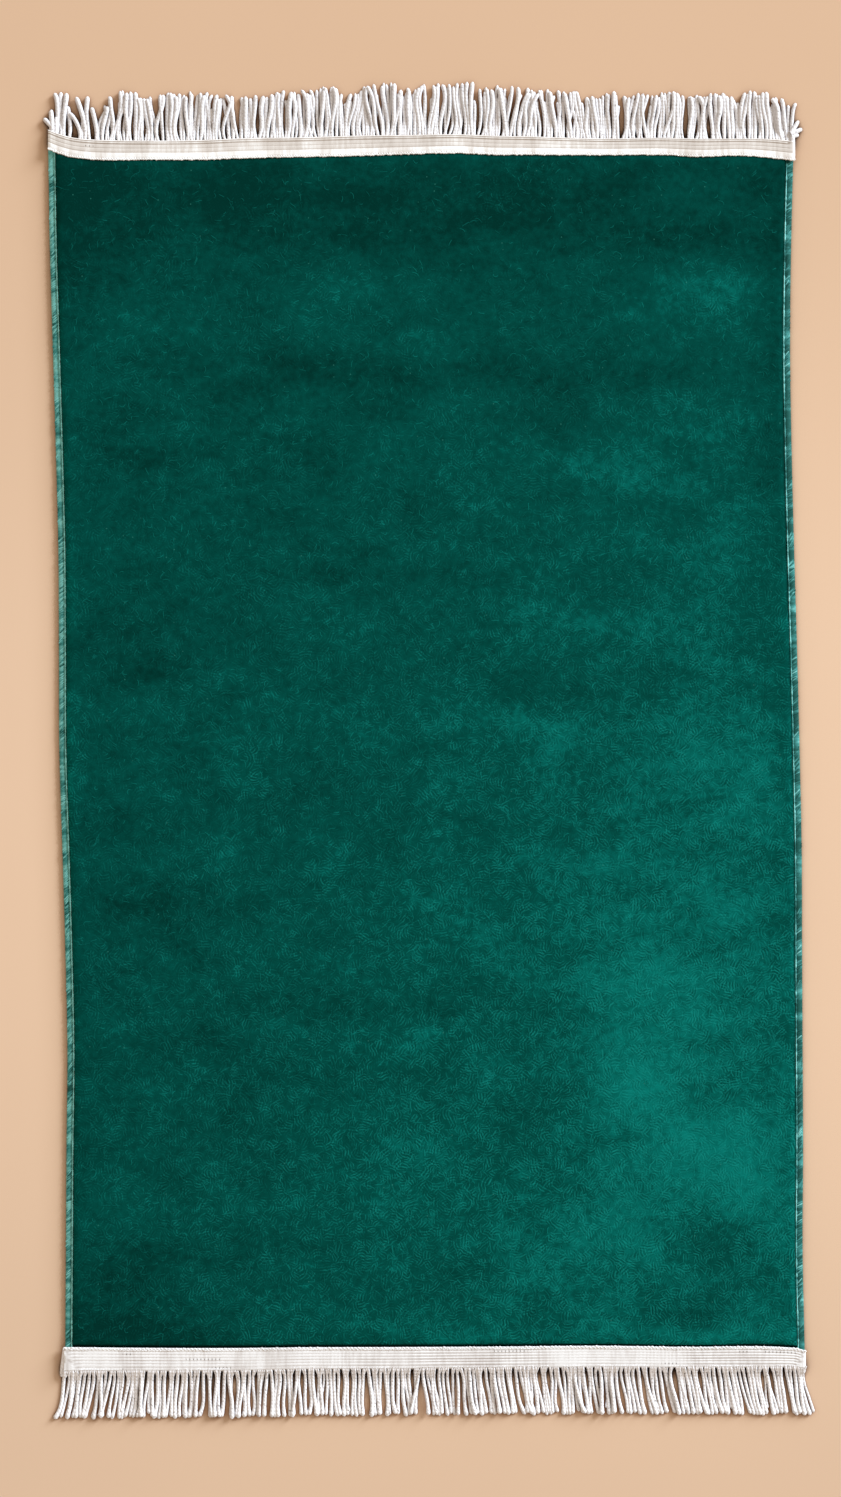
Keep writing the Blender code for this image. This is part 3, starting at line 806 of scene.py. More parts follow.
def ground_material():
    """A plain weave, its warp and weft crossing."""
    pile = bpy.context.scene.rug_pile
    material, tree, surface, place = finish_material("woven_ground", 0.9, specular=0.2)
    warp = add(tree, "ShaderNodeTexWave", {"Vector": place, "Scale": 160.0}, bands_direction="X")
    weft = add(tree, "ShaderNodeTexWave", {"Vector": place, "Scale": 130.0}, bands_direction="Y")
    weave = calc(tree, "MAXIMUM", warp.outputs["Fac"], weft.outputs["Fac"])
    shade = times(tree, weave, mottle(tree, place, 30.0, 3.0, 0.3, 0.7, 0.7, 1.0))
    base = blend(tree, shade, scaled(pile.ground, 0.35), tuple(pile.ground))
    tree.links.new(base, surface.inputs["Base Color"])
    raise_bumps(tree, surface, weave, 0.0004, 0.8)
    return material


def binding_material():
    """Overcast yarn, lighter and darker in patches: painted highlights where it shines and painted shade
    towards the gaps, and darker along the near part of the left side.
    """
    yarn = bpy.context.scene.rug_binding
    material, tree, surface, place = finish_material("binding_yarn", 0.65, sheen=0.04, specular=0.18)
    long_way = stretched(tree, place, (0.2, 1.0, 0.2))
    # patches of painted highlight and painted shade along the yarn
    worn = mottle(tree, long_way, 75.0, 4.0, 0.30, 0.70, Roughness=0.7)
    broad = mottle(tree, long_way, 24.0, 2.0, 0.35, 0.65, -0.20, 0.20)
    # darker along the near part of the left side
    on_left = remap(tree, axis(tree, place, "X"), 0.10, -0.10)
    darkened = times(tree, on_left, remap(tree, axis(tree, place, "Y"), -0.20, -0.36, 0.0, -0.13))
    tone = plus(tree, times(tree, worn, 1.05), attribute(tree, "lightness"), broad, -0.08, darkened)
    base = shades(tree, tone, (0.05, yarn.dark), (0.50, yarn.middle), (0.95, yarn.light))
    tree.links.new(base, surface.inputs["Base Color"])
    raise_bumps(tree, surface, noise_at(tree, place, 2500.0, 2.0), 0.0002, 0.5)
    return material


STRAND_TWIST = 0.0034  # along a strand, from one turn of its plies to the next
STRAND_PLIES = 2
KNOT_SHADOW, PLY_SHADOW, LOW_SHADOW = (0.20, 0.16, 0.145), (0.42, 0.37, 0.35), (0.10, 0.060, 0.045)
# Painted light and shade: one yarn at both ends, painted dimmer at the far end and brighter at the near end.
YARN_PAINTED_LIGHT = {"far": 0.90, "near": 1.03}  # for the strand yarn's colour
# Painted shade on a strand's lower sides, which face the floor.
LOW_SHARE = {"far": 0.50, "near": 0.80}  # how dark a strand's lower sides are


def strand_material(end, twisted):
    """Soft white yarn, more or less twisted, with painted shade in its fine gaps and between its plies, and
    painted shade on its lower sides.
    """
    fringe = bpy.context.scene.rug_fringe
    material, tree, surface, place = finish_material("strand_yarn_" + end, 0.8, sheen=0.08, specular=0.2)
    along = add(tree, "ShaderNodeUVMap", uv_map="yarn").outputs["UV"]
    turns = times(tree, axis(tree, along, "X"), 2 * math.pi / STRAND_TWIST)
    around = times(tree, axis(tree, along, "Y"), 2 * math.pi * STRAND_PLIES)
    ply = calc(tree, "SINE", plus(tree, turns, around))
    yarn = scaled(fringe.yarn, YARN_PAINTED_LIGHT[end])
    base = blend(tree, mottle(tree, place, 160.0, 3.0, 0.35, 0.75), yarn, scaled(yarn, 0.88))
    base = blend(tree, remap(tree, ply, -1.0, -0.1, 0.34 * twisted, 0.0), base, PLY_SHADOW)
    gaps = mottle(tree, place, 480.0, 2.0, 0.60, 0.70, 0.0, min(1.2 * twisted, 0.7))
    base = blend(tree, gaps, base, KNOT_SHADOW)
    # painted shade on the lower sides, from which way each face points
    underside_shade = remap(tree, attribute(tree, "up"), 0.24, -0.12)
    base = blend(tree, times(tree, underside_shade, LOW_SHARE[end]), base, LOW_SHADOW)
    tree.links.new(base, surface.inputs["Base Color"])
    fuzz = noise_at(tree, place, 2200.0, 2.0)
    raise_bumps(tree, surface, plus(tree, times(tree, ply, twisted), fuzz), 0.0002, 0.5)
    return material


KNIT_ACROSS, KNIT_ALONG = 0.0011, 0.0016  # a stitch of a tape's weave
HOLE_SHADOW = (0.10, 0.075, 0.065)
WEAVE = {"far": (0.04, 0.22), "near": (0.15, 0.20)}  # how much it shows, and how uneven its tone is


def tape_material(end):
    """Knitted tape: its ribs as the shape tells, with painted shade in their grooves, uneven tones, small
    stitches and small holes with painted shade in them.
    """
    fringe = bpy.context.scene.rug_fringe
    bright, body, groove = (tuple(getattr(fringe, f"{end}_{part}")) for part in ("tape", "body", "groove"))
    weave, uneven = WEAVE[end]
    material, tree, surface, place = finish_material("tape_yarn_" + end, 0.85, sheen=0.05, specular=0.2)
    x, y = axis(tree, place, "X"), axis(tree, place, "Y")
    knit = times(tree, wave(tree, "SINE", x, KNIT_ACROSS), wave(tree, "SINE", y, KNIT_ALONG))
    wales = wave(tree, "COSINE", x, fringe.near_picot)
    gathers = stretched(tree, place, (1.0, 0.18, 1.0))
    cloud = mottle(tree, gathers, 60.0, 4.0, 0.3, 0.7, -uneven, uneven)
    streaks = mottle(tree, gathers, 330.0, 2.0, 0.35, 0.65, -0.10, 0.10)
    dim = plus(tree, attribute(tree, "dim"), plus(tree, cloud, streaks))
    dim = plus(tree, dim, times(tree, wales, mottle(tree, place, 16.0, 1.0, 0.40, 0.60, 0.0, 0.5 * weave)))
    patchy = mottle(tree, place, 45.0, 3.0, 0.40, 0.60)
    dim = plus(tree, dim, times(tree, remap(tree, knit, 0.1, 0.9, 0.0, weave), patchy))
    base = shades(tree, dim, (0.0, bright), (0.25, body), (1.0, groove))
    hole = times(tree, attribute(tree, "holes"), remap(tree, wales, 0.45, 0.85))
    base = blend(tree, times(tree, hole, 0.85), base, HOLE_SHADOW)
    tree.links.new(base, surface.inputs["Base Color"])
    fuzz = times(tree, noise_at(tree, place, 1800.0, 2.0), 0.6)
    raise_bumps(tree, surface, plus(tree, times(tree, knit, 3.0 * weave), fuzz), 0.0003, 0.45)
    return material


# Painted light: a pool of light painted on the floor, where it is brightest and its shape.
LIT_MIDDLE, LIT_SHAPE = (0.12, -0.07, 0.0), (0.8, 1.0, 0.0)  # where the floor is lit most
# Painted shade over the floor's far part.
FAR_FLOOR_SHADE = (0.965, 0.932, 0.895)  # what its far part is dimmed by
SHADOW_REACH = 0.028  # how far from the rug its soft shadow goes
SHADOW_SHARE = (0.38, 0.19, 0.10)  # the floor's colour in a shadow, for its own
ROOT_SHADOW = (0.016, 0.010, 0.008)  # between the strands, close to a tape


def floor_material():
    """A plain pale floor with a painted pool of light in its middle, painted shade over its far part, and
    painted warm shadows close to the rug and between the strands near the tapes.
    """
    stage = bpy.context.scene.rug_stage
    material, tree, surface, place = finish_material("floor", 0.85, specular=0.1)
    base = blend(tree, mottle(tree, place, 3.0, 3.0, 0.3, 0.7), tuple(stage.floor), scaled(stage.floor, 0.98))
    from_middle = vector_calc(tree, "MULTIPLY", vector_calc(tree, "SUBTRACT", place, LIT_MIDDLE), LIT_SHAPE)
    apart = add(tree, "ShaderNodeVectorMath", {0: from_middle}, operation="LENGTH").outputs["Value"]
    lit = tuple(min(part * 1.10, 1.0) for part in stage.floor)
    base = blend(tree, remap(tree, apart, 0.70, 0.25, interpolation_type="SMOOTHSTEP"), base, lit)
    y = axis(tree, place, "Y")
    base = blend(tree, remap(tree, y, 0.10, 0.62), base, FAR_FLOOR_SHADE, mode="MULTIPLY")
    close = add(tree, "ShaderNodeAmbientOcclusion", {"Distance": SHADOW_REACH}, samples=8).outputs["AO"]
    deep = tuple(part * share for part, share in zip(stage.floor, SHADOW_SHARE))
    base = blend(tree, remap(tree, close, 0.955, 0.16, 0.0, 0.97), base, deep)
    before_near = remap(tree, y, -0.585, -0.606)
    base = blend(tree, times(tree, before_near, remap(tree, close, 0.985, 0.60, 0.0, 0.45)), base, deep)
    near_roots = times(tree, remap(tree, y, -0.603, -0.580), remap(tree, y, -0.556, -0.566))
    far_roots = times(tree, remap(tree, y, 0.604, 0.576), remap(tree, y, 0.548, 0.556))
    roots = calc(tree, "MAXIMUM", near_roots, far_roots)
    roots = times(tree, roots, remap(tree, close, 0.84, 0.44, 0.0, 0.92))
    base = blend(tree, roots, base, ROOT_SHADOW)
    tree.links.new(base, surface.inputs["Base Color"])
    return material


# ---------------------------------------------------------------------------------------------
# The pile
# ---------------------------------------------------------------------------------------------


def spread(start, stop, head, tail, step):
    """Places from start to stop: close steps at both ends and even ones between."""
    first, last = start + head[-1], stop - tail[-1]
    count = max(1, round((last - first) / step))
    middle = [first + (last - first) * i / count for i in range(1, count)]
    return [start + inset for inset in head] + middle + [stop - inset for inset in reversed(tail)]


def brushed_at(x, y):
    """How light the pile is at a place, mostly its nap's sheen painted in: the patches, and a slow change
    over the whole rug.
    """
    tone = USUAL_TONE + ACROSS_TONE * x / HALF_WIDTH * 0.5 - ALONG_TONE * y / HALF_LENGTH * 0.5
    for patch in BRUSHED:
        away = ((x - patch.x) / patch.wide) ** 2 + ((y - patch.y) / patch.high) ** 2
        tone += patch.light * PATCH_STRENGTH * math.exp(-away)
    return tone


def fuzz_at(x, y):
    """How much its curled fibres show there: less near the far end, most at the near right."""
    return 0.30 + 0.74 * ramp(0.33 - 0.5 * y + 0.31 * x - x * y, 0.0, 0.62) + 0.25 * waver(x, y, 0.06, 4.0)


# The shadow along an edge of the pile: how dark it is, and how far in it reaches.
Shadow = namedtuple("Shadow", "dark wide")
LEFT_SHADOW, RIGHT_SHADOW = Shadow(0.10, 0.0008), Shadow(0.55, 0.0026)
FAR_SHADOW = Shadow(0.85, 0.0036)
NEAR_DARK = 0.97
# Painted light on the pile's left edge, whose rounding faces away from the lamp.
LEFT_EDGE_PAINTED_LIGHT = 0.13  # how much lighter the pile's left edge is
ROUNDING_POWER = 2.4  # the higher, the sharper the pile's edges turn down


def near_gap(x):
    """How far the shadow beside the near tape reaches into the pile: least right of the middle."""
    usual = 0.0008 + 0.0013 * (1.0 - ramp(x, 0.06, 0.16)) + 0.0009 * ramp(x, 0.27, 0.31)
    return usual + 0.0011 * max(waver(x, 0.0, 0.009, 14.0), 0.0)


def pile_sheet():
    """The plush cloth, with its rounded edges, its dips and what its material needs to know."""
    pile = bpy.context.scene.rug_pile
    inset = bpy.context.scene.rug_binding.width + CREVICE
    mid_near, mid_far = smooth(NEAR_TAPE, "seam", 0.0), smooth(FAR_TAPE, "seam", 0.0)
    near_steps = PRESSED_STEPS + tuple(SEAM_CREVICE + step for step in EDGE_STEPS)
    far_steps = PRESSED_STEPS + tuple(FAR_CREVICE + step for step in EDGE_STEPS)
    rows = spread(mid_near, mid_far, near_steps, far_steps, PILE_STEP)
    shares = [(y - mid_near) / (mid_far - mid_near) for y in rows]
    left0, right0 = smooth(SIDES, "left", 0.0), smooth(SIDES, "right", 0.0)
    across = spread(left0 + inset, right0 - inset, EDGE_STEPS, EDGE_STEPS, PILE_STEP)
    columns = [(x - left0 - inset) / (right0 - left0 - 2 * inset) for x in across]
    pressed = len(PRESSED_STEPS)
    lows = [smooth(SIDES, "left", y) + inset for y in rows]
    highs = [smooth(SIDES, "right", y) - inset for y in rows]

    def place(column, row):
        x = lows[row] + (highs[row] - lows[row]) * columns[column]
        near, far = smooth(NEAR_TAPE, "seam", x), smooth(FAR_TAPE, "seam", x)
        y = near + (far - near) * shares[row]
        tone, fuzz = brushed_at(x, y), fuzz_at(x, y)
        if row < pressed or row >= len(rows) - pressed:
            return x, y, PRESSED_TOP, tone, fuzz, 1.0, 0.0
        to_side = min(x - lows[row], highs[row] - x)
        to_near, to_far = y - near - SEAM_CREVICE, far - y - FAR_CREVICE
        inward = max(min(to_side, to_near, to_far), 0.0)
        rounding = max(1.0 - inward / EDGE_STEPS[-1], 0.0) ** ROUNDING_POWER
        lump = waver(x, y, 0.045) + 0.5 * waver(x, y, 0.014, 2.0) + 0.3 * waver(x, y, 0.007, 5.0)
        z = pile.top - (pile.top - pile.edge) * rounding + pile.lumps * lump * (1.0 - rounding)
        side = RIGHT_SHADOW
        if x - lows[row] < highs[row] - x:
            side = LEFT_SHADOW
            # painted light on the left edge, which faces away from the lamp
            tone += LEFT_EDGE_PAINTED_LIGHT * (1.0 - ramp(to_side, 0.0006, 0.0050))
        # The painted shadow below runs along the near tape, the far tape and the sides, patchy under the far
        # tape.
        far_shadow_patches = 0.85 + 0.7 * waver(x, y, 0.012, 9.0)
        uneven = 0.8 + 0.8 * waver(x, y, 0.05, 11.0)
        shadow = max(
            NEAR_DARK * (1.0 - ramp(to_near, 0.0, near_gap(x))),
            FAR_SHADOW.dark * (1.0 - ramp(to_far, 0.0, FAR_SHADOW.wide)) * far_shadow_patches,
            side.dark * (1.0 - ramp(to_side, 0.0, side.wide)) * uneven,
        )
        return x, y, z, tone, fuzz, min(max(shadow, 0.0), 1.0), fuzz * ramp(inward, 0.006, 0.010)

    names = ("brushed", "fuzz", "crevice", "fibred")
    return sheet_mesh("plush_pile", len(columns), len(rows), place, PILE_FOOT, names)


FIBRE_POINTS = 6  # along each fibre
FLATNESS = 0.26  # how thick a fibre is for its width
NEARLY_LEVEL = 0.8  # how upright the pile's normal is where fibres lie on it
FIBRE_CHANCES = (("lightness", 0.03, 0.24, 3), ("reach", 0.6, 1.4, 7), ("stray", -1.3, 1.3, 9))
FIBRE_ARCH, FIBRE_SUNK = 0.00018, 0.00010  # how far a fibre's middle stands up, and its ends go in
OVER_PILE = 0.008  # from where, above a fibre, the pile's top is looked for


def fibre_tree():
    """Curled fibres that lie on the pile's top, side by side in swirls."""
    tree, given = new_tree(
        "nap_fibres", Density=9000.0, Fibre_Length=0.009, Fibre_Width=0.0008, Curl=30.0,
        Lowest_Top=0.0055, Seed=0, Material=None,
    )
    spot = tree.nodes.new("GeometryNodeInputPosition").outputs[0]
    upright = tree.nodes.new("GeometryNodeInputNormal").outputs[0]
    on_top = calc(tree, "GREATER_THAN", axis(tree, spot, "Z"), given["Lowest Top"])
    facing = times(tree, on_top, calc(tree, "GREATER_THAN", axis(tree, upright, "Z"), NEARLY_LEVEL))
    density = times(tree, given["Density"], times(tree, known(tree, "fibred"), facing))
    scattered = add(
        tree, "GeometryNodeDistributePointsOnFaces",
        {"Mesh": given["Geometry"], "Density": density, "Seed": given["Seed"]},
    ).outputs

    short = add(tree, "GeometryNodeCurvePrimitiveLine", {"Start": (0, 0, 0), "End": (1e-6, 0, 0)})
    fine = add(tree, "GeometryNodeResampleCurve", {"Curve": short.outputs[0], "Count": FIBRE_POINTS})
    laid = set_on(tree, scattered, fine.outputs[0])
    for name, low, high, seed in FIBRE_CHANCES:
        laid = store(tree, laid, name, drawn(tree, low, high, seed), domain="INSTANCE")
    loose = add(tree, "GeometryNodeRealizeInstances", {"Geometry": laid}).outputs[0]

    # Every fibre starts as one spot, and its points are carried on, step by step, along a swirl.
    swirl = times(tree, noise_at(tree, spot, 48.0, 0.0), given["Curl"])
    angle = plus(tree, swirl, known(tree, "stray"))
    share = calc(tree, "DIVIDE", given["Fibre Length"], FIBRE_POINTS - 1.0)
    step = times(tree, known(tree, "reach"), share)
    carried = combine(
        tree, X=times(tree, calc(tree, "COSINE", angle), step), Y=times(tree, calc(tree, "SINE", angle), step)
    )
    parameter = tree.nodes.new("GeometryNodeSplineParameter").outputs
    for before in range(FIBRE_POINTS - 1):
        beyond = calc(tree, "GREATER_THAN", parameter["Index"], before + 0.5)
        loose = shifted(tree, loose, Selection=beyond, Offset=carried)

    arch = calc(tree, "SINE", times(tree, parameter["Factor"], math.pi))
    level = minus(tree, times(tree, arch, FIBRE_ARCH), FIBRE_SUNK)
    below = add(tree, "GeometryNodeRaycast", {
        "Target Geometry": given["Geometry"], "Ray Direction": (0.0, 0.0, -1.0), "Ray Length": 0.02,
        "Source Position": vector_calc(tree, "ADD", spot, (0.0, 0.0, OVER_PILE)),
    }).outputs
    curled = shifted(
        tree, loose, Selection=below["Is Hit"], Position=below["Hit Position"], Offset=combine(tree, Z=level)
    )
    level_sided = add(tree, "GeometryNodeSetCurveNormal", {"Curve": curled}, mode="Z_UP").outputs[0]
    slim = times(tree, plus(tree, times(tree, arch, 0.60), 0.40), 0.5)
    section = transformed(
        tree, circle(tree, 3), Rotation=(0.0, 0.0, math.radians(90.0)), Scale=(FLATNESS, 1.0, 1.0)
    )
    hair = tube(tree, level_sided, section, Scale=times(tree, slim, given["Fibre Width"]))
    end_tree(tree, hair, given["Material"], smooth_faces=False)
    return tree


# ---------------------------------------------------------------------------------------------
# The bindings
# ---------------------------------------------------------------------------------------------


FAR_CORNERS, NEAR_CORNERS = {"left": -0.34, "right": 0.33}, {"left": -0.33, "right": 0.34}
UNDER_TAPE = 0.004  # how far inside a tape's outer edge a binding ends


def side_line(side, inwards, level, step=0.004):
    """Points along a long side of the rug, from tape to tape, set in from it."""
    last = smooth(FAR_TAPE, "root", FAR_CORNERS[side]) - UNDER_TAPE
    first = smooth(NEAR_TAPE, "root", NEAR_CORNERS[side]) + UNDER_TAPE
    count = round((last - first) / step)
    line = []
    for i in range(count + 1):
        y = first + (last - first) * i / count
        line.append((smooth(SIDES, side, y) + inwards, y, level))
    return line


def overcast_tree():
    """A wrapped core along a line, with slanting threads over it."""
    tree, given = new_tree(
        "overcast_binding", Width=0.0068, Height=0.004, Pitch=0.0024, Thread=0.0015, Slant=0.75,
        Missing=0.12, Tone=0.0, Seed=0, Material=None,
    )
    line = curve_of(tree, given["Geometry"])
    half = times(tree, given["Width"], 0.5)
    low = times(tree, given["Height"], 0.5)
    size = combine(tree, X=half, Y=times(tree, low, 0.90), Z=1.0)
    core = tube(tree, line, transformed(tree, circle(tree, 12), Scale=size))
    darkened = store(tree, core, "lightness", minus(tree, given["Tone"], 0.04))

    # One thread: it goes up over the core and down again, slanting.
    fine = straight(tree, times(tree, half, 0.70), 9)
    x = axis(tree, tree.nodes.new("GeometryNodeInputPosition").outputs[0], "X")
    out = calc(tree, "ABSOLUTE", calc(tree, "DIVIDE", x, half))
    drop = calc(tree, "SQRT", minus(tree, 1.0, times(tree, out, out)))
    level = times(tree, low, minus(tree, times(tree, drop, 0.96), 0.10))
    laid = shifted(tree, fine, Offset=combine(tree, Y=times(tree, x, given["Slant"]), Z=level))
    thread = tube(tree, laid, circle(tree, 5, times(tree, given["Thread"], 0.5)))

    # Threads all along, turned a little each, and flatter and broader where they have merged.
    where = tree.nodes.new("GeometryNodeInputPosition").outputs[0]
    drift = minus(tree, noise_at(tree, where, 22.0, 2.0), 0.5)
    turn = plus(tree, drawn(tree, -0.24, 0.24, given["Seed"]), times(tree, drift, 1.1))
    merged = mottle(tree, where, 34.0, 2.0, 0.44, 0.56)
    high = minus(tree, 1.03, times(tree, merged, 0.24))
    broad = plus(tree, 1.0, times(tree, merged, 1.1))
    sewn = set_on(
        tree, stops_along(tree, line, given["Pitch"]), thread,
        Selection=calc(tree, "GREATER_THAN", drawn(tree, 0.0, 1.0, 12), given["Missing"]),
        Rotation=turned(tree, turn),
        Scale=combine(tree, X=1.0, Y=broad, Z=high),
    )
    # Each thread's own tone, drawn at random: partly the yarn's uneven tone, partly painted highlights and
    # painted shade in slits.
    contrast = minus(tree, 1.0, times(tree, merged, 0.5))
    tone = plus(tree, times(tree, drawn(tree, -0.74, 0.66, 5), contrast), given["Tone"])
    both = tree.nodes.new("GeometryNodeJoinGeometry")
    for shape in (darkened, store(tree, sewn, "lightness", tone, domain="INSTANCE")):
        tree.links.new(shape, both.inputs[0])
    end_tree(tree, both.outputs[0], given["Material"])
    return tree


def chain_tree():
    """Links laid end to end along a line, as in a chain stitch."""
    tree, given = new_tree("chain_stitch", Link=0.0052, Thick=0.0016, Tone=0.0, Seed=0, Material=None)
    line = curve_of(tree, given["Geometry"])
    stops = stops_along(tree, line, times(tree, given["Link"], 0.50))
    ball = add(tree, "GeometryNodeMeshUVSphere", {"Segments": 7, "Rings": 5, "Radius": 0.5}).outputs[0]
    wide = times(tree, given["Thick"], drawn(tree, 0.55, 1.25, given["Seed"]))
    sizes = combine(tree, X=wide, Y=wide, Z=given["Link"])
    sewn = set_on(tree, stops, ball, Rotation=stops["Rotation"], Scale=sizes)
    where = tree.nodes.new("GeometryNodeInputPosition").outputs[0]
    patchy = mottle(tree, where, 30.0, 2.0, 0.35, 0.65, -0.40, 0.35)
    tone = plus(tree, drawn(tree, 0.30, 0.62, 5), patchy, given["Tone"])
    end_tree(tree, store(tree, sewn, "lightness", tone, domain="INSTANCE"), given["Material"])
    return tree


# ---------------------------------------------------------------------------------------------
# The tapes
# ---------------------------------------------------------------------------------------------

TAPE_STEP = 0.0022  # usual spacing of the points along a tape
TAPE_ROWS = 46
TAPE_ENDS = (0.0, 0.0004, 0.0010)  # how far in from its ends its close points are
FOLD, FOLD_DROP = 0.0016, 0.0012  # how far in from a tape's ends it rounds down, and how far down
FLAT_FACE = 0.0064  # height of a tape's face where its ribs are pressed flat
OUTER_EDGE = 0.0044  # height of its face at its outer edge
OUTER_FOOT = 0.0019  # how far down its outer edge reaches
RIB_SHARPNESS = 9.0  # how sharply the ribs turn at a folded end
HOLE_WIDTH = 0.035  # as a share of a tape's width
FAR_TURN, NEAR_TURN = (0.0, 2.6), (1.9, 1.9)  # how far the ribs turn at a tape's left and right ends


def turned_share(lines, x, share, turn):
    """Which rib passes a place on a tape: near a folded end the ribs turn to run along that end."""
    width = abs(smooth(lines, "root", x) - smooth(lines, "seam", x))
    ends = [end * squeeze / width for end, squeeze in zip((x - lines[0].x, lines[-1].x - x), turn) if squeeze]
    nearest = math.exp(-RIB_SHARPNESS * min(ends))
    return -math.log(math.exp(-RIB_SHARPNESS * share) + nearest) / RIB_SHARPNESS


def tape_sheet(name, lines, ribs, show, holes, turn):
    """A woven tape with its ribs, gently wavy, its ends rounded down."""
    across = spread(lines[0].x, lines[-1].x, TAPE_ENDS, TAPE_ENDS, TAPE_STEP)

    def place(column, row):
        x = across[column]
        share = row / (TAPE_ROWS - 1)
        seam, root = smooth(lines, "seam", x), smooth(lines, "root", x)
        y = seam + (root - seam) * share
        rib = min(max(turned_share(lines, x, share, turn), 0.0), 1.0)
        fade = between(show, "ribs", x) + 0.35 * waver(x, rib * 0.05, 0.035, 3.0)
        keep = min(max(fade, 0.20), 1.0) if 0.12 < rib < 0.94 else 1.0
        z = FLAT_FACE + (between(ribs, "height", rib) - FLAT_FACE) * keep
        dim = between(ribs, "dim", rib) * (0.30 + 0.90 * keep)
        to_end = min(x - lines[0].x, lines[-1].x - x)
        z -= FOLD_DROP * (1.0 - ramp(to_end, 0.0, FOLD))
        z += 0.0003 * waver(x, y, 0.03, 6.0)
        z = between((Rib(0, z, 0), Rib(0.93, z, 0), Rib(1.0, OUTER_EDGE, 0)), "height", share)
        hole = max(
            math.exp(-(((share - row.share) / HOLE_WIDTH) ** 2)) if row.start <= x <= row.stop else 0.0
            for row in holes
        )
        return x, y, z, dim, hole

    def foot(point):
        edge = smooth(lines, "root", point.x)
        return OUTER_FOOT if abs(point.y - edge) < 0.0004 else TAPE_FOOT

    return sheet_mesh(name, len(across), TAPE_ROWS, place, foot, ("dim", "holes"))


def tape_line(lines, share, level, inset=0.0015, step=0.003):
    """Points along a tape, at a share of its width."""
    first, last = lines[0].x + inset, lines[-1].x - inset
    count = round((last - first) / step)
    points = []
    for i in range(count + 1):
        x = first + (last - first) * i / count
        seam, root = smooth(lines, "seam", x), smooth(lines, "root", x)
        points.append((x, seam + (root - seam) * share, level))
    return points


def picot_tree():
    """Small loops in a row along a tape's edge."""
    tree, given = new_tree(
        "picot_edge", Pitch=0.003, Loop=0.001, Yarn=0.0012, Facing=-1.0, Seed=0, Material=None
    )
    arc = {"Resolution": 7, "Radius": given["Loop"], "Start Angle": 0.0, "Sweep Angle": math.pi}
    bow = add(tree, "GeometryNodeCurveArc", arc).outputs[0]
    aimed = transformed(tree, bow, Scale=combine(tree, X=1.0, Y=given["Facing"], Z=1.0))
    loop = tube(tree, aimed, circle(tree, 5, times(tree, given["Yarn"], 0.5)))
    sewn = set_on(
        tree, stops_along(tree, curve_of(tree, given["Geometry"]), given["Pitch"]), loop,
        Rotation=turned(tree, drawn(tree, -0.25, 0.25, 8)),
        Scale=combine(tree, X=1.0, Y=drawn(tree, 0.75, 1.20, given["Seed"]), Z=1.0),
    )
    end_tree(tree, sewn, given["Material"])
    return tree


def stitch_tree():
    """Slanting stitches in rows along a tape."""
    tree, given = new_tree(
        "tape_stitches", Pitch=0.0034, Stitch=0.003, Yarn=0.0012, Slant=0.6, Share=0.6, Seed=0, Material=None
    )
    fine = straight(tree, times(tree, given["Stitch"], 0.5), 4)
    along = tree.nodes.new("GeometryNodeSplineParameter").outputs["Factor"]
    arch = calc(tree, "SINE", times(tree, along, math.pi))
    radius = times(tree, given["Yarn"], 0.5)
    bowed = shifted(tree, fine, Offset=combine(tree, Z=times(tree, arch, radius)))
    where = tree.nodes.new("GeometryNodeInputPosition").outputs[0]
    sewn = set_on(
        tree, stops_along(tree, curve_of(tree, given["Geometry"]), given["Pitch"]),
        tube(tree, bowed, circle(tree, 5, radius)),
        Selection=calc(tree, "LESS_THAN", noise_at(tree, where, 34.0, 1.0), given["Share"]),
        Rotation=turned(tree, plus(tree, given["Slant"], drawn(tree, -0.2, 0.2, given["Seed"]))),
    )
    end_tree(tree, sewn, given["Material"])
    return tree


# ---------------------------------------------------------------------------------------------
# The strands
# ---------------------------------------------------------------------------------------------

# Where strands leave a tape: the height of their centres, and how far inside its edge they begin.
Root = namedtuple("Root", "level inside")
FAR_ROOT, NEAR_ROOT = Root(0.0036, 0.0014), Root(0.0056, 0.0024)
LANDING = 0.013  # from the tape to where a strand reaches the floor
ROUNDNESS = 0.68  # how high a strand is for its width
LEAN_POWER = 1.35  # above 1, a strand leans more towards its tip
END_MARGIN = 0.0035  # from a tape's ends to its last strands
UNEVEN_GIRTH = 0.12  # how much thicker or thinner a strand is in places
LAYER_RISE = 0.78  # how high a strand lies on another, for a strand's height
HOOK_FROM = 0.70  # where along a strand its tip begins to hook
PLY_POINTS = 5  # how many of a strand's first points its second ply follows
ALONG_STRAND = (0.0, 0.04, 0.09, 0.16, 0.24, 0.33, 0.42, 0.51, 0.60, 0.69, 0.78, 0.86, 0.92, 0.965, 1.0)
Girth = namedtuple("Girth", "share girth")
FAR_GIRTH = table(
    Girth,
    (0.0, 0.66), (0.10, 0.80), (0.30, 0.94), (0.88, 1.06), (0.96, 1.0), (0.985, 0.72), (1.0, 0.36),
)
NEAR_GIRTH = table(
    Girth,
    (0.0, 0.60), (0.10, 0.64), (0.22, 0.74), (0.80, 0.77), (0.90, 0.92), (0.95, 1.10), (0.985, 0.96),
    (1.0, 0.50),
)

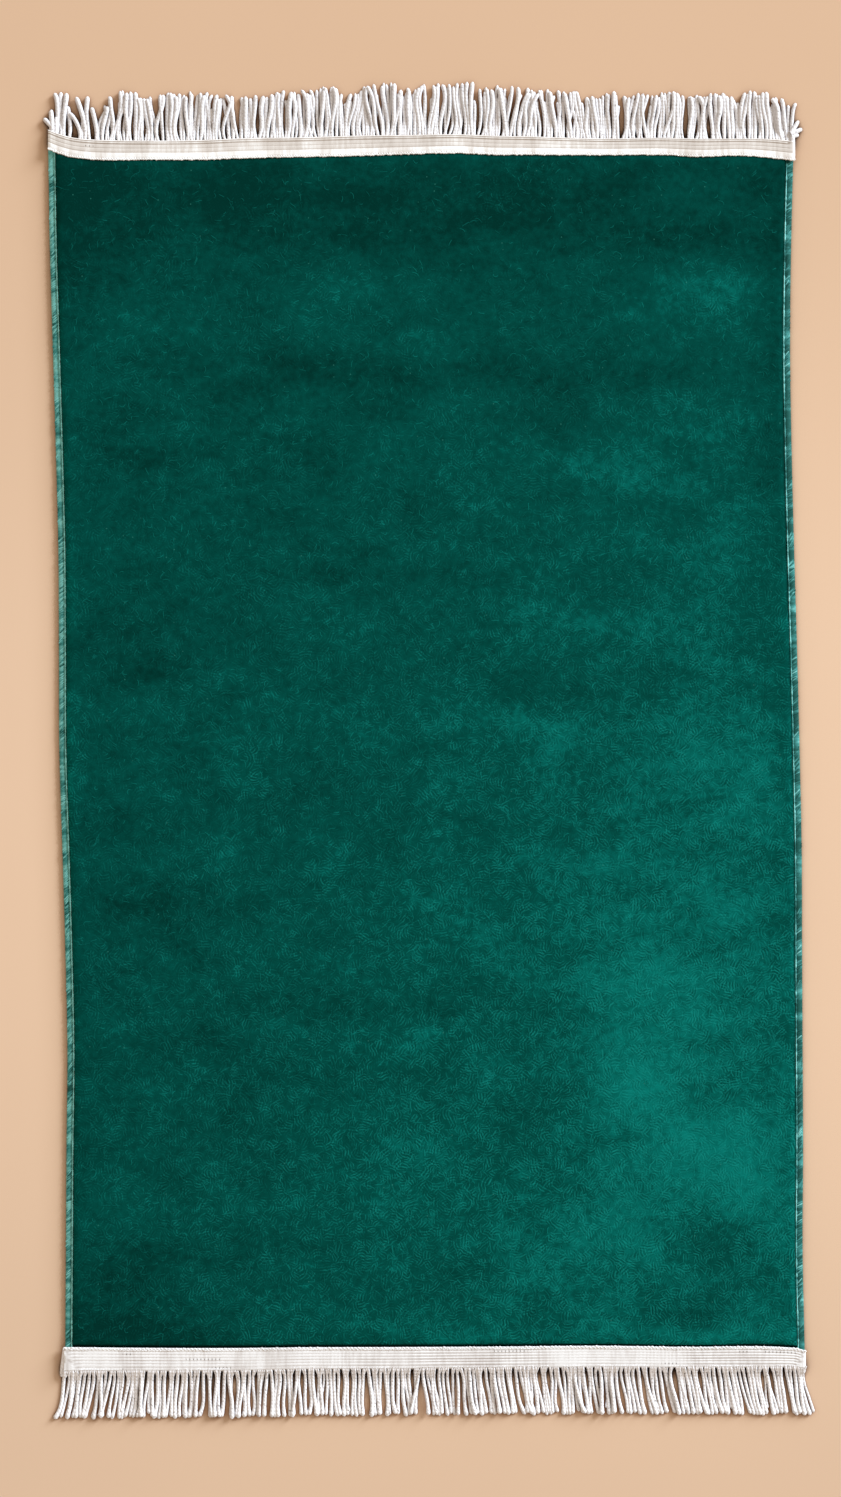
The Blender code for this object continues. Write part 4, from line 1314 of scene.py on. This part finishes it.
# One strand: where it starts and where its tip lies along the tape, how far it bows and swings
# sideways on the way, how far its tip hooks, how high it lies on others and how thick it is.
Strand = namedtuple("Strand", "root tip length bow swing hook layer thick")
CORNER_STRANDS = table(
    Strand,
    (-0.3440, -0.3452, 0.0200, 0.0, 0.0, 0.0, 0.4, 1.05),
    (-0.3394, -0.3398, 0.0390, 0.0006, 0.0, -0.0022, 0.5, 1.0),
    (-0.3356, -0.3360, 0.0405, -0.0008, 0.0004, 0.0, 0.0, 1.05),
    (-0.3329, -0.3300, 0.0405, -0.0014, 0.0, -0.0008, 0.6, 1.1),
    (-0.3283, -0.3300, 0.0300, 0.0012, 0.0, 0.0, 0.0, 0.95),
    (-0.3191, -0.3272, 0.0255, 0.0022, 0.0, -0.0012, 0.5, 0.95),
    (-0.3141, -0.3219, 0.0400, 0.0018, 0.0, 0.0, 0.7, 1.05),
    (-0.3165, -0.3150, 0.0265, -0.0004, 0.0, 0.0, 0.0, 0.9),
    (-0.3095, -0.3107, 0.0412, -0.0024, 0.0006, -0.0008, 0.4, 1.05),
    (-0.3036, -0.3078, 0.0310, 0.0012, 0.0, 0.0, 0.8, 1.0),
    (-0.3012, -0.2945, 0.0305, -0.0022, 0.0, 0.0026, 0.0, 0.95),
    (-0.2976, -0.2915, 0.0330, -0.0016, 0.0, -0.0024, 0.6, 1.0),
)


def strand_points(strand, lines, girths, thick, start):
    """The points of a strand's centre line, and its girth at each."""
    outward = 1 if lines[0].root > lines[0].seam else -1
    points, thickness = [], []
    for share in ALONG_STRAND:
        girth = between(girths, "girth", share) * strand.thick
        girth *= 1.0 + UNEVEN_GIRTH * waver(strand.root, share, 0.06, strand.tip * 90.0)
        out = share * strand.length
        x = strand.root + (strand.tip - strand.root) * share**LEAN_POWER
        x += strand.bow * math.sin(math.pi * share**0.8)
        x += strand.swing * math.sin(2 * math.pi * share)
        bent = max(share - HOOK_FROM, 0.0) / (1.0 - HOOK_FROM)
        x += strand.hook * bent**2
        back = 0.35 * abs(strand.hook) * bent**3
        y = smooth(lines, "root", strand.root) + outward * (out - start.inside - back)
        landing = ramp(out, 0.0, min(LANDING, 0.6 * strand.length))
        floor_level = 0.5 * thick * ROUNDNESS * max(girth, 0.72 * strand.thick)
        level = start.level + (floor_level - start.level) * landing
        level += strand.layer * LAYER_RISE * thick * ROUNDNESS * ramp(share, 0.10, 0.42)
        points.append((x, y, level))
        thickness.append(girth)
    return points, thickness


FILLED_FROM = -0.14  # along the far end, from where on no wide gap is left between two tips
WIDEST_GAP = 0.0058
USUAL_LENGTH, SHORT_LENGTH = 0.039, 0.030  # a strand of the far end, and one with none under it
BESIDE = (0.0016, 0.0028)  # how far beside a strand the one under it starts
TANGLE_SHARE, UNDER_SHARE = 0.78, 0.24  # how many strands have another under them, far and near


def far_strands(count):
    """The far end's strands: tangled, in clumps that lean apart, cross and hook."""
    dice = random.Random(21)
    start, stop = FAR_TAPE[0].x + END_MARGIN, FAR_TAPE[-1].x - END_MARGIN
    strands = list(CORNER_STRANDS)
    i = len(strands) + 1
    lean_before = 0.004
    while i < count:
        size = dice.randint(1, 5)
        lean = max(min(-0.30 * lean_before + dice.uniform(-0.0045, 0.0045), 0.0055), -0.0055)
        lean_before = lean
        longer = dice.uniform(-0.0035, 0.0040)
        pull = dice.uniform(0.70, 1.08)
        clump_bow = dice.uniform(-0.0024, 0.0024)
        hook = dice.uniform(-0.0030, 0.0030) if dice.random() < 0.35 else 0.0
        roots = [start + (stop - start) * j / (count - 1) for j in range(i, min(i + size, count))]
        middle = sum(roots) / len(roots)
        for root in roots:
            usual = smooth(FAR_LAY, "length", root)
            ratio = usual / USUAL_LENGTH
            stray = dice.random() < 0.20
            own = dice.uniform(-0.0085, 0.0085) if stray else dice.uniform(-0.0014, 0.0014)
            aside = (middle - root) * (1.0 - pull) + smooth(FAR_LAY, "lean", root) + lean + own
            ragged = longer + dice.uniform(-0.0006, 0.0030)
            strands.append(Strand(
                root=root + dice.uniform(-0.0006, 0.0006),
                tip=root + aside * ratio,
                length=usual + (0.0030 + ragged) * ratio,
                bow=(clump_bow + dice.uniform(-0.0014, 0.0014)) * ratio,
                swing=dice.uniform(-0.0016, 0.0016) * ratio,
                hook=(hook + (dice.uniform(-0.002, 0.002) if stray else 0.0)) * ratio,
                layer=dice.uniform(0.7, 1.1) if stray else 0.6 * dice.randint(0, 1),
                thick=dice.uniform(0.72, 1.08),
            ))
        i += size
    for strand in strands[len(CORNER_STRANDS):]:
        if dice.random() < TANGLE_SHARE and strand.length > SHORT_LENGTH:
            root = strand.root + dice.choice((-1, 1)) * dice.uniform(*BESIDE)
            strands.append(Strand(
                root=root, tip=root + dice.uniform(-0.0050, 0.0050),
                length=strand.length * dice.uniform(0.76, 1.04),
                bow=dice.uniform(-0.0014, 0.0014), swing=dice.uniform(-0.0006, 0.0006), hook=0.0,
                layer=0.0, thick=dice.uniform(0.66, 0.86),
            ))
    filled = [strand for strand in strands if strand.root > FILLED_FROM]
    row = sorted(filled, key=lambda strand: strand.tip)
    for one, other in zip(row, row[1:]):
        if other.tip - one.tip > WIDEST_GAP:
            strands.append(one._replace(
                root=(one.root + other.root) / 2, tip=(one.tip + other.tip) / 2,
                length=min(one.length, other.length) * dice.uniform(0.90, 1.0),
                bow=(one.bow + other.bow) / 2, swing=0.0, hook=0.0, layer=0.0,
                thick=dice.uniform(0.74, 0.94),
            ))
    return strands


def near_strands(count):
    """The near end's strands: nearly straight, their knotted tips in a row, many drawn together."""
    dice = random.Random(22)
    start, stop = NEAR_TAPE[0].x + 0.3 * END_MARGIN, NEAR_TAPE[-1].x - END_MARGIN
    strands = []
    i = 0
    while i < count:
        size = dice.choice((1, 2, 2, 3, 4, 5))
        lean = dice.uniform(-0.0016, 0.0016)
        pull = dice.uniform(0.55, 1.0)
        roots = [start + (stop - start) * j / (count - 1) for j in range(i, min(i + size, count))]
        middle = sum(roots) / len(roots)
        for root in roots:
            stray = dice.random() < 0.12
            own = dice.uniform(-0.0060, 0.0060) if stray else dice.uniform(-0.0009, 0.0009)
            aside = (middle - root) * (1.0 - pull) + smooth(NEAR_LAY, "lean", root) + lean + own
            strands.append(Strand(
                root=root + dice.uniform(-0.0003, 0.0003),
                tip=root + aside,
                length=smooth(NEAR_LAY, "length", root) + dice.uniform(0.0052, 0.0074),
                bow=dice.uniform(-0.0016, 0.0016),
                swing=dice.uniform(-0.0009, 0.0009),
                hook=dice.uniform(-0.0018, 0.0018) if dice.random() < 0.3 else 0.0,
                layer=0.9 if stray else 0.15 * dice.randint(0, 1),
                thick=dice.uniform(0.84, 1.16),
            ))
        i += size
    for strand in strands[:]:
        if dice.random() < UNDER_SHARE:
            root = strand.root + dice.choice((-1, 1)) * dice.uniform(*BESIDE)
            strands.append(strand._replace(
                root=root, tip=root + (strand.tip - strand.root) + dice.uniform(-0.0045, 0.0045),
                length=strand.length * dice.uniform(0.86, 0.99), hook=0.0,
                layer=0.0, thick=dice.uniform(0.70, 0.90),
            ))
    return strands


JOINED_AT = 0.22  # along a strand, where its second ply has joined it
PLY_GIRTH, PLY_RISE = 0.40, 0.0002
PLY_BESIDE = (0.0016, 0.0024)


def root_plies(strands, lines, girths, thick, start):
    """A second, thin ply for each strand: it leaves the tape beside it and soon joins it."""
    points, thickness = [], []
    dice = random.Random(5)
    for strand in strands:
        centre = strand_points(strand, lines, girths, thick, start)[0]
        aside = dice.choice((-1, 1)) * dice.uniform(*PLY_BESIDE)
        line = []
        for (x, y, z), share in list(zip(centre, ALONG_STRAND))[:PLY_POINTS]:
            line.append((x + aside * (1.0 - ramp(share, 0.0, JOINED_AT)), y, z + PLY_RISE))
            thickness.append(PLY_GIRTH)
        points.append(line)
    return points, thickness


STUB_GIRTH = ((0.0, 1.0), (0.3, 1.0), (0.6, 1.0), (0.85, 0.92), (0.95, 0.72), (1.0, 0.40))


def stub_points(stub, thick):
    """A short yarn end lying out from under a tape's corner."""
    line, thickness = [], []
    for share, girth in STUB_GIRTH:
        x = stub.x + (stub.tip_x - stub.x) * share
        y = stub.y + (stub.tip_y - stub.y) * share
        line.append((x, y, stub.level + (stub.tip_level - stub.level) * share))
        thickness.append(stub.thick / thick * girth)
    return line, thickness


def yarn_tree():
    """A yarn along each line, as thick as the line says, that knows how far along it each point is."""
    tree, given = new_tree("fringe_yarns", Thick=0.0035, Sides=8, Material=None)
    line = curve_of(tree, given["Geometry"])
    scale = times(tree, times(tree, given["Thick"], 0.5), known(tree, "girth"))
    lengthwise = tree.nodes.new("GeometryNodeSplineParameter").outputs["Length"]
    marked = store(tree, line, "lengthwise", lengthwise)
    around = tree.nodes.new("GeometryNodeSplineParameter").outputs["Factor"]
    ring = store(tree, circle(tree, given["Sides"]), "around", around)
    oval = transformed(tree, ring, Scale=(1.0, ROUNDNESS, 1.0))
    level_sided = add(tree, "GeometryNodeSetCurveNormal", {"Curve": marked}, mode="Z_UP").outputs[0]
    yarn = tube(tree, level_sided, oval, Scale=scale)
    facing = tree.nodes.new("GeometryNodeInputNormal").outputs[0]
    yarn = store(tree, yarn, "up", axis(tree, facing, "Z"))
    both = combine(tree, X=known(tree, "lengthwise"), Y=known(tree, "around"))
    mapped = store(tree, yarn, "yarn", both, domain="CORNER", data_type="FLOAT2")
    end_tree(tree, mapped, given["Material"])
    return tree


# ---------------------------------------------------------------------------------------------
# Operators
# ---------------------------------------------------------------------------------------------


class RUG_OT_stage(Operator):
    """Lay the pale floor, set up the soft light and aim the camera straight down"""

    bl_idname = "rug.stage"
    bl_label = "Set the stage"

    FLOOR_SIZE = 6.0
    PHOTO_HEIGHT = 1.3730  # what the long side of the picture spans on the floor
    LENS, SENSOR = 85.0, 36.0
    CENTRE = (-0.0064, 0.0014)
    KEY_DISTANCE, KEY_HEIGHT_ANGLE, KEY_TURN = 20.0, math.radians(19.5), math.radians(38.0)
    KEY_SIZE = 8.2

    def execute(self, context):
        settings = context.scene.rug_stage
        bpy.ops.mesh.primitive_plane_add(size=self.FLOOR_SIZE)
        floor = context.object
        floor.name = "floor"
        floor.data.materials.append(floor_material())

        world = bpy.data.worlds.new("room_light")
        world.use_nodes = True
        background = world.node_tree.nodes["Background"]
        background.inputs["Color"].default_value = (*settings.sky, 1.0)
        background.inputs["Strength"].default_value = settings.sky_strength
        context.scene.world = world

        flat = self.KEY_DISTANCE * math.cos(self.KEY_HEIGHT_ANGLE)
        light = bpy.data.lights.new("soft_box", "AREA")
        light.shape = "SQUARE"
        light.size = self.KEY_SIZE
        light.energy = settings.key_power
        light.color = settings.key
        key = bpy.data.objects.new("soft_box", light)
        key.location = (
            flat * math.cos(self.KEY_TURN),
            flat * math.sin(self.KEY_TURN),
            self.KEY_DISTANCE * math.sin(self.KEY_HEIGHT_ANGLE),
        )
        key.rotation_euler = (-key.location).to_track_quat("-Z", "Y").to_euler()
        context.scene.collection.objects.link(key)

        lens = bpy.data.cameras.new("camera")
        lens.lens = self.LENS
        lens.sensor_width = self.SENSOR
        camera = bpy.data.objects.new("camera", lens)
        camera.location = (*self.CENTRE, self.LENS / self.SENSOR * self.PHOTO_HEIGHT)
        context.scene.collection.objects.link(camera)
        context.scene.camera = camera
        context.scene.view_settings.view_transform = "Standard"
        return {"FINISHED"}


class RUG_OT_pile(Operator):
    """Make the plush pile cloth with its brushed patches, and the curled fibres on it"""

    bl_idname = "rug.pile"
    bl_label = "Make the pile"

    LAYERS = 3

    def execute(self, context):
        settings = context.scene.rug_pile
        pile = pile_sheet()
        tree = fibre_tree()
        material = fibre_material()
        for layer in range(self.LAYERS):
            base = pile.copy()
            base.data = pile.data.copy()
            context.scene.collection.objects.link(base)
            fibres = grow(
                f"nap_fibres_{layer + 1}", base, tree,
                Density=float(settings.fibres), Fibre_Length=settings.fibre_length,
                Fibre_Width=settings.fibre_width, Curl=settings.fibre_curl, Seed=layer + 1,
                Material=material,
            )
            dressed(fibres, "pile")
        pile.data.materials.append(pile_material())
        dressed(pile, "pile", "pile_cloth")
        return {"FINISHED"}


class RUG_OT_ground(Operator):
    """Weave the plain ground that shows on the rug's underside"""

    bl_idname = "rug.ground"
    bl_label = "Weave the ground"

    COLUMNS, ROWS = 12, 60

    def execute(self, context):
        near, far = smooth(NEAR_TAPE, "seam", 0.0), smooth(FAR_TAPE, "seam", 0.0)

        def place(column, row):
            across, along = column / (self.COLUMNS - 1), row / (self.ROWS - 1)
            y = near - TAPE_REACH + (far - near + 2 * TAPE_REACH) * along
            left = smooth(SIDES, "left", y) + SELVEDGE_INSET
            right = smooth(SIDES, "right", y) - SELVEDGE_INSET
            x = left + (right - left) * across
            y = (smooth(NEAR_TAPE, "seam", x) - TAPE_REACH) * (1 - along)
            y += (smooth(FAR_TAPE, "seam", x) + TAPE_REACH) * along
            return x, y, GROUND_TOP

        ground = sheet_mesh("woven_ground", self.COLUMNS, self.ROWS, place, 0.0)
        ground.data.materials.append(ground_material())
        dressed(ground, "backing")
        return {"FINISHED"}


class RUG_OT_bindings(Operator):
    """Overcast both long sides, with a chain stitch beside the pile"""

    bl_idname = "rug.bindings"
    bl_label = "Overcast the sides"

    CHAIN_THICK = 0.0016
    CHAIN_INSET = 0.0006  # from the binding's inner side to the middle of the chain
    CHAIN_RISE = 0.0004  # from the binding's top to the middle of the chain
    # Painted light: the left chain, which the pile beside it shades from the lamp, is painted lighter.
    CHAIN_TONES = {"left": 0.20, "right": -0.02}  # how much lighter a chain is than its binding

    def execute(self, context):
        settings = context.scene.rug_binding
        overcast, chain = overcast_tree(), chain_tree()
        material = binding_material()
        # each side's tone paints the left binding lighter and the right one darker: painted light and painted
        # shade
        for side, inwards, tone in (("left", 1, settings.left_tone), ("right", -1, settings.right_tone)):
            middle = side_line(side, inwards * settings.width / 2, settings.height / 2)
            base = guide("binding_line", [middle])
            threads = grow(
                f"binding_{side}_threads", base, overcast, Width=settings.width,
                Height=settings.height, Pitch=settings.pitch, Thread=settings.thread,
                Tone=tone, Seed=inwards + 2, Material=material,
            )
            dressed(threads, "binding", "binding_" + side)
            inner = inwards * (settings.width - self.CHAIN_INSET)
            base = guide("chain_line", [side_line(side, inner, settings.height + self.CHAIN_RISE)])
            links = grow(
                f"binding_{side}_chain", base, chain, Link=settings.link, Thick=self.CHAIN_THICK,
                Tone=tone + self.CHAIN_TONES[side], Seed=inwards + 7, Material=material,
            )
            dressed(links, "binding")
        return {"FINISHED"}


class RUG_OT_tapes(Operator):
    """Sew a woven tape across each end, with its picots and its rows of stitches"""

    bl_idname = "rug.tapes"
    bl_label = "Sew the tapes"

    # Picots: radius of a loop, share of the tape's width where they stand, height, thickness of the
    # yarn for that radius, and which way along Y they point.
    Picots = namedtuple("Picots", "loop share level full facing")
    PICOTS = {
        "far": Picots(0.0012, 0.0, 0.0067, 1.55, -1.0),
        "near": Picots(0.0014, 0.09, 0.0063, 1.15, 1.0),
    }
    # A row of stitches: share of the tape's width, height, slant, and how much of the row shows.
    Row = namedtuple("Row", "share level slant part")
    ROWS = {"far": (), "near": (Row(0.10, 0.0063, 0.35, 0.56), Row(0.90, 0.0060, 0.55, 0.50))}
    STITCH_PITCH, STITCH_LENGTH, STITCH_YARN, STITCH_INSET = 0.0026, 0.0030, 0.0008, 0.008

    def execute(self, context):
        settings = context.scene.rug_fringe
        picots, stitches = picot_tree(), stitch_tree()
        ends = (
            ("far", FAR_TAPE, (FAR_RIBS, FAR_SHOW, FAR_HOLES, FAR_TURN), settings.far_picot),
            ("near", NEAR_TAPE, (NEAR_RIBS, NEAR_SHOW, NEAR_HOLES, NEAR_TURN), settings.near_picot),
        )
        for end, lines, weave, pitch in ends:
            material = tape_material(end)
            tape = tape_sheet(f"tape_{end}", lines, *weave)
            tape.data.materials.append(material)
            dressed(tape, "fringe_yarn", "fringe_" + end)
            loops = self.PICOTS[end]
            base = guide("picot_line", [tape_line(lines, loops.share, loops.level)])
            edge = grow(
                f"tape_{end}_picots", base, picots, Pitch=pitch, Loop=loops.loop,
                Yarn=loops.loop * loops.full, Facing=loops.facing, Seed=4, Material=material,
            )
            dressed(edge, "fringe_yarn")
            for number, row in enumerate(self.ROWS[end], 1):
                along = tape_line(lines, row.share, row.level, inset=self.STITCH_INSET)
                sewn = grow(
                    f"tape_{end}_stitches_{number}", guide("stitch_line", [along]), stitches,
                    Pitch=self.STITCH_PITCH, Stitch=self.STITCH_LENGTH, Yarn=self.STITCH_YARN,
                    Slant=row.slant, Share=row.part, Seed=number, Material=material,
                )
                dressed(sewn, "fringe_yarn")
        return {"FINISHED"}


class RUG_OT_strands(Operator):
    """Lay the fringe strands out from each tape, with the yarn ends at its corners"""

    bl_idname = "rug.strands"
    bl_label = "Lay the strands"

    def execute(self, context):
        settings = context.scene.rug_fringe
        tree = yarn_tree()
        for end, strands, stubs, tape, girths, start, twisted in (
            ("far", far_strands(settings.far_strands), FAR_STUBS, FAR_TAPE, FAR_GIRTH, FAR_ROOT, 0.4),
            ("near", near_strands(settings.near_strands), NEAR_STUBS, NEAR_TAPE, NEAR_GIRTH, NEAR_ROOT, 0.6),
        ):
            material = strand_material(end, twisted)
            lines, thickness = [], []
            for strand in strands:
                points, own = strand_points(strand, tape, girths, settings.thick, start)
                lines.append(points)
                thickness += own
            if end == "near":
                plies, own = root_plies(strands, tape, girths, settings.thick, start)
                lines += plies
                thickness += own
            for stub in stubs:
                points, own = stub_points(stub, settings.thick)
                lines.append(points)
                thickness += own
            base = guide("strand_lines", lines, girth=thickness)
            fringe = grow(f"strands_{end}", base, tree, Thick=settings.thick, Sides=8, Material=material)
            dressed(fringe, "fringe_yarn", "fringe_" + end)
        return {"FINISHED"}


class RUG_PT_sidebar(Panel):
    """The rug's pieces and their settings"""

    bl_label = "Prayer Rug"
    bl_idname = "RUG_PT_sidebar"
    bl_space_type = "VIEW_3D"
    bl_region_type = "UI"
    bl_category = "Rug"

    def draw(self, context):
        for label, group in (
            (RUG_OT_stage, "rug_stage"),
            (RUG_OT_ground, None),
            (RUG_OT_pile, "rug_pile"),
            (RUG_OT_bindings, "rug_binding"),
            (RUG_OT_tapes, "rug_fringe"),
            (RUG_OT_strands, None),
        ):
            box = self.layout.box()
            box.operator(label.bl_idname)
            if group:
                settings = getattr(context.scene, group)
                for key in settings.__annotations__:
                    box.prop(settings, key)


SETTINGS = {"rug_pile": RugPile, "rug_binding": RugBinding, "rug_fringe": RugFringe, "rug_stage": RugStage}
OPERATORS = (RUG_OT_stage, RUG_OT_ground, RUG_OT_pile, RUG_OT_bindings, RUG_OT_tapes, RUG_OT_strands)
CLASSES = (*SETTINGS.values(), *OPERATORS, RUG_PT_sidebar)


def register():
    for item in CLASSES:
        bpy.utils.register_class(item)
    for name, group in SETTINGS.items():
        setattr(bpy.types.Scene, name, PointerProperty(type=group))


def unregister():
    for name in SETTINGS:
        delattr(bpy.types.Scene, name)
    for item in reversed(CLASSES):
        bpy.utils.unregister_class(item)


def declare_cloth():
    """Looks up the pile cloth, the rug's one sheet, and the pieces sewn to it or lying on it, and does
    nothing more with them.
    """
    pile = bpy.data.objects["plush_pile"]
    others = [o for o in bpy.data.objects if o.get("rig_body") and "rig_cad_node" not in o and o != pile]


def main():
    register()
    for step in OPERATORS:
        area, name = step.bl_idname.split(".")
        getattr(getattr(bpy.ops, area), name)()
    declare_cloth()


if __name__ == "__main__":
    main()
